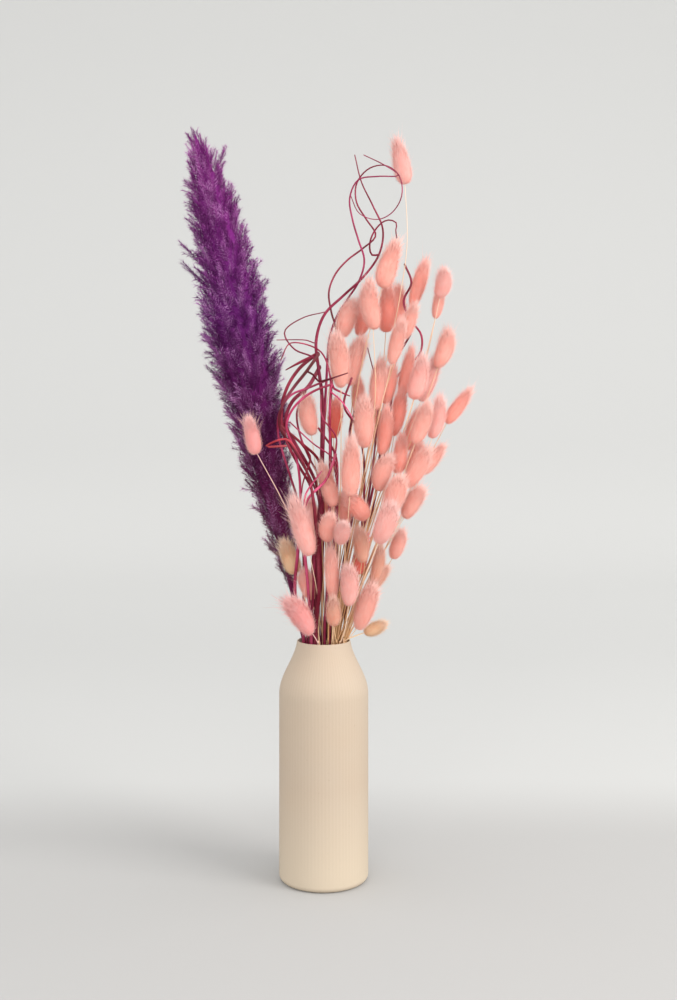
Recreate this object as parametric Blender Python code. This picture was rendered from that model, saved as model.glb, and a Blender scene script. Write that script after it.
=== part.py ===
"""A ceramic vase with dried flowers: a dyed pampas plume, bunny tail grass and curly sticks.

Units are millimetres until a mesh is made, which is in metres. +Z is up, the viewer looks along +Y,
and the origin is the middle of the vase's foot, on the surface that it stands on.
"""

import math
import random

import bmesh
import bpy
import numpy as np
from mathutils import Vector

MM = 0.001
SEED = 11

# The places of flowers and sticks were read off the front view of the vase, in the plane of its axis,
# by a viewer this far away, this high and this far to the right.
VIEW_DISTANCE = 1343.0
VIEW_HEIGHT = 488.0
VIEW_ACROSS = 14.75

# Vase
VASE_HEIGHT = 238.0
BODY_RADIUS = 44.5
NECK_RADIUS = 26.4
MOUTH_RADIUS = 25.25
SHOULDER_START = 185.0
SHOULDER_END = 242.0
INSIDE_END = 233.0
WALL = 3.0
FLOOR = 6.0
FOOT_CORNER = 6.0
VASE_SIDES = 30
SHOULDER_STEPS = 5
SEAT_GAP = 0.3

# Bunny tail grass
STEM_RADIUS = 0.75
STEM_PIECE = 62.0
HEAD_SIDES = 8
HEAD_RINGS = (0.0, 0.15, 0.38, 0.62, 0.84)
TUFT_OUT = 1.0
TUFT_IN = 0.76
TUFT_RISE = 3.0
HEAD_INSET = 0.42
BUNCH_LEAN = 0.06
LEAN_FROM = 260.0

# Curly sticks
STICK_SIDES = 3
STICK_TIP = 0.45
# Sticks that are broad to the end, where they reach the tallest one: half their thickness there
THICK_TIPS = {"left_drop": 1.6, "left_sweep": 1.4, "thick_sweep": 1.8}

# Pampas plume
PLUME_DEPTH = 24.0
PLUME_FLATNESS = 0.75
PLUME_CORE = 0.45
PLUME_STEM_RADIUS = 2.2
CORE_SIDES = 6
SPIKE_COUNT = 204
SPIKE_ROOT = 3.4
SPIKE_POINT = 0.35
SPIKE_CLIMB = (24, 34)
SPIKE_REACH = (0.84, 1.1)
SPIKE_SUNK = 0.45
CROWN_CLOSER = 14
STRAY_DEPTH = 6
GOLDEN_ANGLE = 2.399963

# Where stems stand: the level of the mouth, the room in the neck, and how far their feet spread
MOUTH_HEIGHT = VASE_HEIGHT - 2
NECK_ROOM = MOUTH_RADIUS - 2
MOUTH_MIDDLE = (6.0, 3.0)
MOUTH_FAN = 30.0
PAIR_GAP = 2.9
FOOT_SPREAD = 1.5
SLOT_STEPS = 400
SLOT_SPARE = 0.25
FIRST_KNEE = 46.0
JOIN_HEIGHT = 60.0
RIM_RINGS = ((VASE_HEIGHT - 1.6, 26.9), (VASE_HEIGHT - 7, 26.8), (VASE_HEIGHT - 15, 28.8),
             (VASE_HEIGHT - 22, 32.0))
RIM_PIECES = 20

# How far strands of different pieces keep apart, how far a three-sided one's corners stand out,
# and how they are bent clear
CLEAR = 0.7
MIN_GAP = 0.2
CORNERS = 1.15
BEND_STEPS = 1000
NEAR_EVERY = 10
HOME_PULL = 0.05
SHAPE_PULL = 0.3

# Each bunny tail: across and up of its tip, across and up of its base, width, depth, how far the tip
# lies behind the base, and the places that its stem passes on the way down. Neighbours are paired.
TAILS = (
    ((73, 736), (83, 692), 17, -5, 0, ((81, 648), (79, 588))),
    ((101, 616), (87, 569), 14, 5, 3, ()),
    ((72, 635), (57, 589), 19, -25, -4, ()),
    ((64, 591), (63, 544), 17, 5, 4, ()),
    ((44, 595), (50, 547), 18, -30, -3, ()),
    ((41, 580), (36, 541), 16, 8, 4, ()),
    ((74, 590), (73, 553), 18, 22, 5, ()),
    ((91, 572), (79, 538), 14, -14, -3, ()),
    ((121, 607), (116, 579), 16, -5, -9, ()),
    ((117, 588), (110, 560), 11, 12, 5, ()),
    ((28, 575), (17, 540), 18, -15, -6, ()),
    ((13, 540), (18, 487), 19, -38, -5, ((17, 430), (17, 378))),
    ((39, 540), (24, 493), 18, -14, 2, ()),
    ((34, 498), (36, 458), 13, 5, 5, ()),
    ((78, 556), (67, 513), 14, -28, -4, ()),
    ((67, 510), (60, 473), 14, -5, 0, ()),
    ((57, 515), (51, 466), 15, -18, 2, ()),
    ((52, 483), (50, 438), 12, 20, 4, ()),
    ((126, 546), (114, 509), 17, 0, 4, ()),
    ((111, 518), (95, 476), 16, 8, 3, ()),
    ((87, 527), (78, 481), 13, 12, 2, ()),
    ((100, 520), (88, 478), 17, -12, -4, ()),
    ((146, 487), (122, 454), 13, -5, -2, ((114, 440), (108, 426))),
    ((117, 479), (109, 438), 15, -15, -3, ()),
    ((104, 473), (91, 433), 16, -28, -5, ()),
    ((90, 468), (81, 428), 15, 9, 3, ()),
    ((119, 431), (97, 404), 14, 14, 4, ()),
    ((96, 433), (85, 398), 15, 2, 2, ()),
    ((104, 426), (80, 390), 17, -15, -4, ()),
    ((97, 389), (80, 360), 17, -10, -4, ()),
    ((78, 345), (69, 318), 14, 0, -5, ()),
    ((62, 309), (47, 288), 13, -2, -3, ()),
    ((40, 478), (40, 429), 19, -30, -3, ()),
    ((28, 437), (25, 380), 18, -46, -4, ()),
    ((28, 379), (47, 357), 18, -26, -8, ()),
    ((35, 348), (40, 314), 14, -25, -3, ()),
    ((77, 400), (64, 363), 20, -30, -6, ()),
    ((68, 373), (55, 333), 20, -51, -5, ()),
    ((64, 421), (54, 387), 18, -22, -3, ()),
    ((64, 469), (59, 422), 14, -4, 0, ()),
    ((74, 483), (71, 438), 14, 6, 3, ()),
    ((78, 441), (74, 403), 14, -10, 0, ()),
    ((57, 330), (50, 293), 12, -15, -4, ()),
    ((28, 343), (27, 303), 13, -8, 3, ()),
    ((46, 292), (31, 247), 19, -16, -6, ()),
    ((60, 254), (40, 243), 13, 2, 2, ()),
    ((25, 310), (26, 271), 17, -37, -6, ()),
    ((9, 282), (11, 253), 13, -29, -3, ()),
    ((-35, 278), (-11, 243), 20, -35, -12, ()),
    ((-17, 308), (-10, 278), 15, -12, 0, ()),
    ((-39, 333), (-26, 301), 16, -12, 4, ()),
    ((-30, 378), (-12, 321), 19, -38, -6, ()),
    ((-13, 375), (-8, 347), 12, -14, 0, ()),
    ((6, 360), (2, 335), 16, -34, -13, ()),
    ((-1, 412), (11, 370), 15, -29, -3, ()),
    ((-2, 388), (6, 358), 14, 4, 2, ()),
    ((20, 353), (16, 334), 15, -44, -14, ()),
    ((12, 381), (19, 350), 14, -12, 2, ()),
    ((8, 331), (10, 280), 13, -24, -4, ()),
    ((11, 476), (11, 438), 14, -8, 2, ()),
    ((-18, 480), (-12, 442), 17, -20, -2, ()),
    ((-75, 458), (-68, 422), 14, -42, -4, ((-53, 394), (-44, 373), (-26, 343))),
)

# Each curly stick: its thickness at the vase's mouth, then across, up and depth from the mouth to its
# tip, and its side twigs in the same form, each starting on the stick.
STICKS = (
    ("tall", 3.3, ((-7, 238, 2), (-5, 318, 0), (-2, 378, -2), (-1, 418, -3), (-1, 478, -4), (-4, 503, -4),
                   (-7, 528, -4), (-7, 541, -4), (-4, 553, -4), (2, 565, -5), (16, 579, -8),
                   (36, 597, -10), (48, 612, -9), (54, 620, -8), (59, 638, -4), (59, 650, 0),
                   (56, 660, 3), (46, 678, 6), (37, 698, 6), (31, 723, 4)),
     ((1.6, ((53, 618, -8), (47, 625, -14), (46, 633, -18), (48, 642, -20), (53, 650, -19),
             (59, 656, -14), (66, 658, -10), (71, 657, -8), (73, 654, -9), (72, 648, -12),
             (73, 640, -14))),
      (1.2, ((-7, 526, -4), (-9, 535, -9), (-14, 537, -13), (-21, 538, -15), (-34, 538, -16),
             (-47, 538, -16))))),
    ("hairpin", 2.4, ((-2, 238, 8), (-1, 318, 11), (-1, 378, 11), (0, 418, 10), (3, 478, 7), (5, 518, 4),
                      (4, 526, 3), (7, 540, 3), (11, 553, 4), (18, 570, 5), (28, 583, 6),
                      (36, 597, 6), (41, 613, 8), (39, 628, 10), (33, 643, 12), (28, 663, 12),
                      (26, 678, 10), (29, 690, 5), (36, 699, -1), (48, 701, -7), (62, 702, -12),
                      (74, 702, -15), (76, 705, -17), (72, 709, -18), (61, 713, -17),
                      (51, 717, -16), (40, 723, -15)), ()),
    ("ring", 2.3, ((2, 238, 14), (4, 318, 18), (6, 378, 21), (7, 428, 21), (7, 478, 20),
                   (10, 518, 18), (12, 552, 16), (7, 568, 15), (5, 581, 15), (6, 591, 15),
                   (11, 603, 16), (19, 613, 18), (28, 622, 20), (36, 628, 21), (44, 632, 21),
                   (50, 637, 20), (52, 643, 19), (50, 648, 19), (41, 661, 19), (35, 671, 20),
                   (31, 681, 20), (31, 689, 19), (36, 700, 15), (46, 710, 10), (57, 713, 5),
                   (66, 711, 0), (74, 705, -3), (78, 693, -4), (77, 678, -3), (69, 666, 0),
                   (56, 659, 9), (42, 660, 13), (31, 670, 13), (27, 682, 12)), ()),
    ("right", 2.2, ((12, 238, 10), (21, 278, 14), (38, 338, 22), (51, 398, 28), (61, 448, 30),
                    (67, 483, 30), (69, 494, 30), (76, 505, 30), (84, 514, 28), (93, 521, 24),
                    (97, 526, 22), (100, 536, 22), (97, 545, 22), (92, 552, 23), (84, 563, 25),
                    (80, 569, 26), (81, 580, 26), (85, 585, 24), (88, 596, 22), (85, 608, 20),
                    (81, 614, 18)), ()),
    ("right_short", 2.0, ((16, 238, 14), (28, 288, 20), (44, 348, 28), (57, 408, 34), (66, 458, 36),
                          (69, 498, 38), (72, 517, 38), (78, 527, 37), (85, 534, 36),
                          (87, 544, 36)), ()),
    ("left_loop", 2.4, ((-11, 238, -4), (-8, 318, -8), (-4, 398, -12), (-1, 458, -12), (-4, 503, -12),
                        (-8, 518, -12), (-15, 521, -14), (-24, 526, -16), (-34, 532, -18),
                        (-39, 537, -18), (-41, 542, -16), (-38, 549, -13), (-32, 554, -10),
                        (-24, 559, -8), (-14, 563, -8), (-8, 565, -9), (1, 566, -11)), ()),
    ("left_hook", 2.5, ((0, 238, -6), (4, 318, -11), (6, 398, -17), (6, 458, -19), (6, 493, -19),
                        (6, 516, -19), (-2, 526, -21), (-16, 531, -23), (-31, 535, -24),
                        (-41, 535, -25), (-47, 530, -26), (-45, 525, -27), (-43, 518, -27)),
     ((1.9, ((6, 493, -19), (13, 489, -22), (20, 485, -22), (26, 482, -20))),)),
    ("left_drop", 2.2, ((-13, 238, 2), (-11, 318, 0), (-9, 366, -1), (-13, 391, -3), (-22, 407, -4),
                        (-31, 424, -4), (-38, 440, -3), (-42, 460, -1), (-41, 478, 1), (-33, 498, 3),
                        (-24, 510, 3), (-14, 519, 2), (-6, 525, -1)),
     ((2.6, ((-10, 522, 1), (-19, 518, -6), (-29, 513, -8), (-38, 508, -9))),)),
    ("left_sweep", 2.0, ((-10, 238, -12), (-8, 318, -18), (-5, 374, -22), (-10, 394, -24), (-18, 409, -26),
                         (-27, 426, -28), (-37, 440, -32), (-43, 450, -35), (-45, 460, -36),
                         (-42, 471, -36), (-38, 479, -35), (-32, 488, -34), (-25, 497, -33),
                         (-17, 507, -32), (-10, 517, -31), (-5, 524, -31)),
     ((1.7, ((-16, 508, -32), (-11, 504, -36), (-8, 499, -38), (-3, 496, -40), (2, 498, -42),
             (9, 500, -50), (24, 505, -52))),)),
    ("thick_sweep", 2.6, ((-5, 238, 14), (-4, 318, 12), (-2, 376, 6), (-8, 398, 4), (-15, 412, 3),
                          (-23, 427, 2), (-33, 442, 2), (-38, 454, 4), (-37, 466, 6), (-31, 477, 7),
                          (-24, 485, 7), (-16, 491, 7), (-9, 499, 8), (-4, 511, 8)), ()),
    ("pink_arch", 3.0, ((-20, 238, -8), (-25, 268, -12), (-28, 288, -14), (-27, 308, -16),
                        (-25, 328, -17), (-24, 353, -18), (-23, 373, -20), (-23, 393, -24),
                        (-25, 413, -27), (-29, 428, -29), (-33, 440, -30), (-37, 453, -31),
                        (-34, 463, -32), (-27, 473, -32), (-19, 481, -32), (-9, 487, -31),
                        (1, 492, -30), (9, 494, -29)),
     ((1.3, ((1, 492, -30), (8, 486, -35), (16, 479, -36), (23, 470, -36), (29, 459, -34))),)),
    ("thin_arch", 2.3, ((-17, 238, 2), (-20, 278, 2), (-20, 318, 0), (-24, 368, -6), (-37, 413, -14),
                        (-44, 435, -17), (-46, 448, -19), (-46, 458, -21), (-44, 466, -23),
                        (-40, 476, -24), (-34, 482, -24), (-25, 487, -24), (-16, 490, -23),
                        (-4, 494, -22), (6, 499, -20)), ()),
    ("flat_loop", 3.4, ((-8, 238, -17), (-6, 298, -22), (-7, 358, -26), (-14, 403, -30),
                        (-27, 428, -36), (-34, 438, -40), (-44, 439, -43), (-53, 436, -45),
                        (-58, 431, -47), (-53, 427, -49), (-45, 428, -49), (-38, 432, -48)), ()),
    ("crimson_fork", 3.6, ((-13, 238, 9), (-5, 298, 6), (-2, 368, -2), (-5, 413, -8), (-10, 424, -10),
                           (-16, 430, -12), (-22, 434, -13), (-32, 444, -15), (-38, 448, -15),
                           (-44, 453, -15)),
     ((2.0, ((-16, 430, -12), (-15, 421, -20), (-17, 410, -26), (-21, 399, -29), (-22, 385, -31))),)),
    ("ring_left", 2.3, ((-14, 238, -9), (-11, 298, -13), (-5, 368, -16), (-1, 390, -16), (-6, 404, -14),
                        (-13, 418, -12), (-20, 434, -10), (-25, 448, -9), (-27, 460, -9),
                        (-26, 470, -9), (-24, 478, -9), (-18, 487, -10)), ()),
    ("thin_cross", 2.0, ((4, 238, 4), (8, 298, 0), (12, 368, -2), (13, 400, -6), (9, 421, -20),
                         (-6, 431, -29), (-21, 443, -34), (-28, 451, -35), (-34, 456, -35)), ()),
    ("short_cross", 2.5, ((3, 238, 18), (7, 308, 16), (10, 368, 8), (12, 408, 0), (9, 425, -3),
                          (3, 432, -4), (-2, 441, -5), (-7, 450, -6)), ()),
    ("small_hook", 2.0, ((7, 238, -4), (12, 308, -4), (16, 383, -14), (14, 403, -22), (12, 421, -26),
                         (14, 433, -28), (12, 449, -28), (4, 457, -26), (-5, 465, -24),
                         (-8, 474, -22), (-3, 483, -20)), ()),
    ("zigzag_low", 2.5, ((9, 238, 8), (19, 308, 14), (32, 378, 6), (33, 413, -4), (30, 438, -10),
                         (23, 444, -12), (20, 451, -13), (26, 460, -13), (31, 467, -13)),
     ()),
    ("zigzag_high", 2.4, ((13, 238, 3), (34, 308, 14), (40, 378, 6), (40, 418, -2), (36, 443, -10),
                          (30, 456, -17), (25, 463, -19), (20, 470, -20), (22, 479, -20),
                          (25, 488, -20), (28, 500, -20)),
     ()),
    ("pink_front", 2.6, ((-12, 238, -15), (-17, 298, -19), (-21, 348, -20), (-17, 378, -26),
                         (-11, 385, -29), (-2, 394, -31), (10, 410, -30), (12, 424, -28)),
     ((1.6, ((-19, 363, -23), (-20, 378, -32), (-15, 390, -38), (-8, 399, -41), (-2, 407, -42))),)),
    ("pale_twig", 2.2, ((20, 238, 6), (30, 308, 8), (45, 398, 6), (52, 458, 8), (53, 498, 10),
                        (51, 515, 4), (44, 530, -2)), ()),
)

# The plume's outline: across and up of its axis, and half its width there
PLUME = (
    (-32, 288, 5), (-37, 318, 10), (-44, 358, 17), (-53, 398, 22), (-62, 438, 27), (-70, 478, 31),
    (-79, 518, 36), (-85, 548, 36), (-91, 578, 33), (-94, 598, 32), (-100, 628, 27), (-107, 653, 27),
    (-112, 678, 23), (-117, 698, 19), (-122, 718, 12), (-129, 744, 3),
)
PLUME_MOUTH = (-19.5, 5.0)
# Stray branches: across and up of the tip, and how high on the axis each one starts
STRAYS = (
    (-138, 748, 715), (-97, 735, 690), (-83, 684, 645), (-149, 639, 592), (-146, 618, 572),
    (-126, 573, 520), (-121, 515, 470), (-54, 601, 555), (-59, 338, 310), (-47, 560, 520),
)

# The nodes of the deeper coral tails and of the darker sticks
CORAL_TAILS = {"02", "07", "09", "11", "21", "22", "25", "30"}
CRIMSON_STICKS = {"crimson_fork", "thick_sweep", "left_drop", "left_sweep", "ring_left", "zigzag_low",
                  "zigzag_high", "short_cross", "thin_cross", "right", "right_short"}
ROUGHNESS = 0.85
CREASE = math.radians(35)
COLOURS = {
    "vase": (0.80, 0.70, 0.55),
    "pampas": (0.15, 0.03, 0.20),
    "bunny_tail": (0.90, 0.42, 0.34),
    "bunny_tail_coral": (0.80, 0.30, 0.22),
    "stick_pink": (0.55, 0.09, 0.15),
    "stick_crimson": (0.36, 0.03, 0.07),
}


def seen(across, up, depth):
    """The real place of what the viewer sees across and up in the plane of the vase's axis."""
    spread = 1 + depth / VIEW_DISTANCE
    return np.array((
        VIEW_ACROSS + (across - VIEW_ACROSS) * spread,
        depth,
        VIEW_HEIGHT + (up - VIEW_HEIGHT) * spread,
    ))


def curve_through(points, count):
    """Evenly spaced points on a smooth curve through the given ones."""
    points = np.array(points, float)
    ends = np.vstack((2 * points[0] - points[1], points, 2 * points[-1] - points[-2]))
    fine = []
    for a, b, c, d in zip(ends, ends[1:], ends[2:], ends[3:]):
        for t in np.linspace(0, 1, 12, endpoint=False):
            fine.append(0.5 * (2 * b + (c - a) * t + (2 * a - 5 * b + 4 * c - d) * t ** 2
                               + (3 * b - a - 3 * c + d) * t ** 3))
    fine = np.array(fine + [points[-1]])
    run = np.concatenate(([0], np.cumsum(np.linalg.norm(np.diff(fine, axis=0), axis=1))))
    even = np.linspace(0, run[-1], count)
    return np.array([np.interp(even, run, fine[:, axis]) for axis in range(3)]).T


def drawn_in(height, end, wide, narrow):
    """A radius at a height: wide up to the shoulder, then a smooth S that gets narrow by its end."""
    t = min(max((height - SHOULDER_START) / (end - SHOULDER_START), 0), 1)
    return narrow + (wide - narrow) * 0.5 * (1 + math.cos(math.pi * t))


def outer_radius(height):
    """The vase's outer radius above its foot corner."""
    return drawn_in(height, SHOULDER_END, BODY_RADIUS, NECK_RADIUS)


def inner_radius(height):
    """The vase's inner radius above its floor."""
    return drawn_in(height, INSIDE_END, BODY_RADIUS - WALL, MOUTH_RADIUS)


class Tangle:
    """Round strands that are bent until none touches a strand of another piece."""

    def __init__(self):
        self.places = []
        self.give = []
        self.pieces = []
        self.triples = []
        self.heads = []

    def add(self, owner, points, radii, give, root=None):
        """Adds a strand, on from the point numbered root if given, and returns its points' numbers."""
        first = len(self.places)
        numbers = list(range(first, first + len(points)))
        self.places += [tuple(p) for p in points]
        self.give += [give] * len(points)
        if root is not None:
            numbers = [root] + numbers
        for a, b, radius in zip(numbers, numbers[1:], radii):
            self.pieces.append((a, b, radius, owner))
        self.triples += list(zip(numbers, numbers[1:], numbers[2:]))
        return numbers

    def settle(self):
        """Pushes strands apart that touch, keeping each one's shape as far as that allows."""
        place = np.array(self.places, float)
        home = place.copy()
        give = np.array(self.give, float)[:, None]
        a, b = np.array([p[:2] for p in self.pieces]).T
        radius = np.array([p[2] for p in self.pieces])
        owner = np.array([p[3] for p in self.pieces])
        before, middle, after = np.array(self.triples).T
        shape = place[middle] - (place[before] + place[after]) / 2
        base, tip = np.array(self.heads).T
        length = np.linalg.norm(place[tip] - place[base], axis=1)[:, None]
        for step in range(BEND_STEPS):
            if step % NEAR_EVERY == 0:
                one, two = self.near(place, a, b, radius, owner)
            worst = self.push(place, give, a, b, radius, one, two)
            if worst < CLEAR / 4 and step > BEND_STEPS / 2:
                break
            ease = max(0.0, 1 - 2.5 * step / BEND_STEPS)
            bent = shape + (place[before] + place[after]) / 2 - place[middle]
            np.add.at(place, middle, SHAPE_PULL * (0.1 + ease) * bent * give[middle])
            place[:, 0::2] += HOME_PULL * ease * (home - place)[:, 0::2] * give
            along = place[tip] - place[base]
            place[tip] = place[base] + along * length / np.linalg.norm(along, axis=1)[:, None]
            self.keep_in_vase(place, give)
        return place, worst

    def near(self, place, a, b, radius, owner):
        """Pairs of pieces of different owners that are close enough to touch soon."""
        centre = (place[a] + place[b]) / 2
        reach = np.linalg.norm(place[a] - place[b], axis=1) / 2 + radius + 4
        pairs = []
        for i in range(len(a) - 1):
            gap = np.linalg.norm(centre[i + 1:] - centre[i], axis=1)
            close = (gap < reach[i + 1:] + reach[i]) & (owner[i + 1:] != owner[i])
            pairs += [(i, i + 1 + j) for j in np.nonzero(close)[0]]
        return np.array(pairs).T

    def push(self, place, give, a, b, radius, one, two):
        """Moves apart each pair of pieces that is too close, and returns by how much the worst is."""
        p, q = place[a[one]], place[a[two]]
        u, v, w = place[b[one]] - p, place[b[two]] - q, p - q
        uu, vv, uv = (u * u).sum(1), (v * v).sum(1), (u * v).sum(1)
        uw, vw = (u * w).sum(1), (v * w).sum(1)
        s = np.clip((uv * vw - uw * vv) / np.maximum(uu * vv - uv * uv, 1e-6), 0, 1)
        t = np.clip((uv * s + vw) / vv, 0, 1)
        s = np.clip((uv * t - uw) / uu, 0, 1)
        apart = w + u * s[:, None] - v * t[:, None]
        gap = np.linalg.norm(apart, axis=1)
        short = radius[one] + radius[two] + CLEAR - gap
        hit = np.nonzero(short > 0)[0]
        if len(hit) == 0:
            return 0.0
        one, two, s, t = one[hit], two[hit], s[hit, None], t[hit, None]
        way = np.where(gap[hit, None] > 0.02, apart[hit] / np.maximum(gap[hit, None], 1e-6), (0, 1, 0))
        shove = 0.5 * way * short[hit, None]
        moved = np.zeros_like(place)
        times = np.zeros((len(place), 1))
        for number, share in ((a[one], 1 - s), (b[one], s), (a[two], t - 1), (b[two], -t)):
            np.add.at(moved, number, share * shove)
            np.add.at(times, number, abs(share))
        place += 1.6 * moved / np.maximum(times, 1) * give
        return short.max()

    def keep_in_vase(self, place, give):
        """Holds what is below the rim inside the neck, and what is lower down inside the body."""
        low = (place[:, 2] < VASE_HEIGHT) & (give[:, 0] > 0)
        room = np.where(place[:, 2] > MOUTH_HEIGHT - 50, NECK_ROOM, BODY_RADIUS - WALL - FOOT_CORNER)
        away = np.hypot(place[:, 0], place[:, 1])
        over = low & (away > room)
        place[over, :2] *= (room[over] / away[over])[:, None]


def foot_of(mouth, height=FLOOR + SEAT_GAP):
    """Where a stem that passes the mouth there stands on the vase's floor, or is at another height."""
    spread = np.interp(height, (FLOOR, MOUTH_HEIGHT), (FOOT_SPREAD, 1))
    return np.array((spread * mouth[0], spread * mouth[1], height))


def lean_back(row):
    """How deep a tail's base lies: as read, with the whole bunch leaning back a little."""
    return row[3] + BUNCH_LEAN * max(0, row[1][1] - LEAN_FROM)


def slot_of(row):
    """Where a tail's stem would pass the vase's mouth by the way that it leans."""
    lean = np.array((row[1][0] - MOUTH_MIDDLE[0], lean_back(row), row[1][1] - MOUTH_HEIGHT))
    return np.array(MOUTH_MIDDLE) + MOUTH_FAN * (lean / np.linalg.norm(lean))[:2]


def spread_slots():
    """Where every tail, every stick and the plume pass the mouth, moved until each has room."""
    slots = np.array([slot_of(row) for row in TAILS] + [seen(*stick[2][0])[:2] for stick in STICKS]
                     + [PLUME_MOUTH])
    radii = np.array([STEM_RADIUS] * len(TAILS) + [stick[1] / 2 for stick in STICKS]
                     + [PLUME_STEM_RADIUS]) * CORNERS
    first, second = slice(0, len(TAILS), 2), slice(1, len(TAILS), 2)
    slots[second] = slots[first] + 0.1 * (slots[second] - slots[first])
    for step in range(SLOT_STEPS):
        apart = slots[:, None] - slots
        gap = np.linalg.norm(apart, axis=2) + 1e3 * np.eye(len(slots))
        short = np.maximum(0, radii[:, None] + radii + CLEAR + SLOT_SPARE - gap)
        slots[:-1] += 0.4 * (apart / gap[:, :, None] * short[:, :, None]).sum(axis=1)[:-1]
        beside = slots[second] - slots[first]
        far = np.linalg.norm(beside, axis=1)[:, None]
        draw = 0.25 * beside * np.maximum(0, far - PAIR_GAP) / far
        slots[first] += draw
        slots[second] -= draw
        away = np.linalg.norm(slots, axis=1)
        slots *= np.minimum(1, (NECK_ROOM + STEM_RADIUS - radii) / away)[:, None]
    return np.column_stack((slots, np.full(len(slots), MOUTH_HEIGHT)))


def plan_tail(row, mouth):
    """A tail's points from the vase's mouth up its stem, then the two ends of its head's core."""
    (tip_x, tip_z), (base_x, base_z), width, depth, lean, passed = row
    depth = lean_back(row)
    base = seen(base_x, base_z, depth)
    tip = seen(tip_x, tip_z, depth + lean)
    axis = (tip - base) / np.linalg.norm(tip - base)
    rise = base - mouth
    length = np.linalg.norm(rise)
    if passed:
        share = depth / (base_z - VASE_HEIGHT)
        route = [mouth] + [seen(x, z, share * (z - VASE_HEIGHT)) for x, z in passed[::-1]] + [base]
    else:
        start = mouth + 0.2 * rise + (0, 0, 0.13 * length)
        end = base - axis * length / 3
        route = [(1 - t) ** 3 * mouth + 3 * t * (1 - t) ** 2 * start + 3 * t * t * (1 - t) * end
                 + t ** 3 * base for t in np.linspace(0, 1, 7)]
    stem = curve_through(route, max(3, 1 + round(length / STEM_PIECE)))
    inset = HEAD_INSET * width
    return np.vstack((stem[:-1], base + inset * axis, tip - inset * axis))


def plan_stick(route, thick, tip=STICK_TIP):
    """The places and radii of a stick or a side twig, along a smooth curve."""
    points = curve_through([seen(*p) for p in route], max(6, len(route)))
    radii = np.interp(np.linspace(0, 1, len(points)), (0, 0.4, 1), (thick / 2, thick / 2, tip))
    return points, radii


def plan_plume():
    """The plume's axis, with its half width at each place."""
    places = []
    for across, up, half in PLUME:
        depth = PLUME_DEPTH * min(1, (up - VASE_HEIGHT) / 140)
        places.append(seen(across, up, depth))
    return places, [half for across, up, half in PLUME]


def plan_rim(tangle, owner):
    """Stands rings of strand in the vase's rim and neck, which nothing else may touch."""
    for height, radius in RIM_RINGS:
        ring = [(radius * math.cos(turn), radius * math.sin(turn), height)
                for turn in np.linspace(0, 2 * math.pi, RIM_PIECES + 1)]
        tangle.add(owner, ring, [WALL / 2 + 0.6] * RIM_PIECES, 0.0)


def plan_all():
    """Plans every strand, bends them clear, and returns them: (kind, piece, points, radii, width)."""
    tangle = Tangle()
    strands = []
    plan_rim(tangle, "vase")
    slots = spread_slots()
    axis, half = plan_plume()
    points = [foot_of(slots[-1]), slots[-1]] + axis
    radii = [PLUME_STEM_RADIUS] * 2 + [0.5 * (1 + PLUME_FLATNESS) * h for h in half]
    numbers = tangle.add("pampas_grass", points, radii, 0.0)
    strands.append(("plume", "pampas_grass", numbers, half, 0))
    for index, row in enumerate(TAILS):
        piece = f"bunny_tails_{index // 2 + 1:02d}"
        mouth = slots[index]
        if index % 2 == 0:
            root = None
            low = [foot_of(mouth), foot_of(mouth, FIRST_KNEE)]
        else:
            low = [foot_of(mouth, JOIN_HEIGHT)]
        points = np.vstack((low, plan_tail(row, mouth)))
        radii = [STEM_RADIUS * CORNERS] * (len(points) - 2 + index % 2) + [row[2] / 2]
        numbers = tangle.add(piece, points, radii, 1.0, root)
        root = numbers[1]
        tangle.heads.append(numbers[-2:])
        strands.append(("tail", piece, numbers, [STEM_RADIUS] * (len(numbers) - 1), row[2]))
    for (name, thick, route, twigs), mouth in zip(STICKS, slots[len(TAILS):]):
        piece = f"curly_stick_{name}"
        points, radii = plan_stick(route, thick, THICK_TIPS.get(name, STICK_TIP))
        points[0] = mouth
        points = np.vstack((foot_of(mouth), points))
        radii = np.insert(radii, 0, radii[0])
        numbers = tangle.add(piece, points, radii[:-1] * CORNERS, 1.0)
        strands.append(("stick", piece, numbers, radii, 0))
        for thick, route in twigs:
            twig, radii = plan_stick(route, thick)
            root = numbers[int(np.argmin(np.linalg.norm(points - twig[0], axis=1)))]
            numbers_out = tangle.add(piece, twig[1:], radii[:-1] * CORNERS, 1.0, root)
            strands.append(("stick", piece, numbers_out, radii, 0))
    places, worst = tangle.settle()
    if worst > CLEAR - MIN_GAP:
        raise RuntimeError(f"strands are {CLEAR - worst:.2f} mm apart")
    return [(kind, piece, places[numbers], radii, width)
            for kind, piece, numbers, radii, width in strands]


def loft(name, sections, point=None):
    """An object with a closed skin over rings of places: a face extruded from ring to ring."""
    bm = bmesh.new()
    start = face = bm.faces.new([bm.verts.new(p * MM) for p in sections[0]])
    for section in sections[1:]:
        grown = bmesh.ops.extrude_face_region(bm, geom=[face])["geom"]
        if face is not start:
            bm.faces.remove(face)
        face = next(f for f in grown if isinstance(f, bmesh.types.BMFace))
        for vert, p in zip(face.verts, section):
            vert.co = p * MM
    if point is not None:
        bmesh.ops.poke(bm, faces=[face])["verts"][0].co = point * MM
    return finish(name, bm)


def finish(name, bm):
    """Makes an object of the mesh, in triangles that face outward."""
    bmesh.ops.triangulate(bm, faces=bm.faces[:])
    bmesh.ops.recalc_face_normals(bm, faces=bm.faces[:])
    mesh = bpy.data.meshes.new(name)
    bm.to_mesh(mesh)
    bm.free()
    thing = bpy.data.objects.new(name, mesh)
    bpy.context.scene.collection.objects.link(thing)
    return thing


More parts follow.
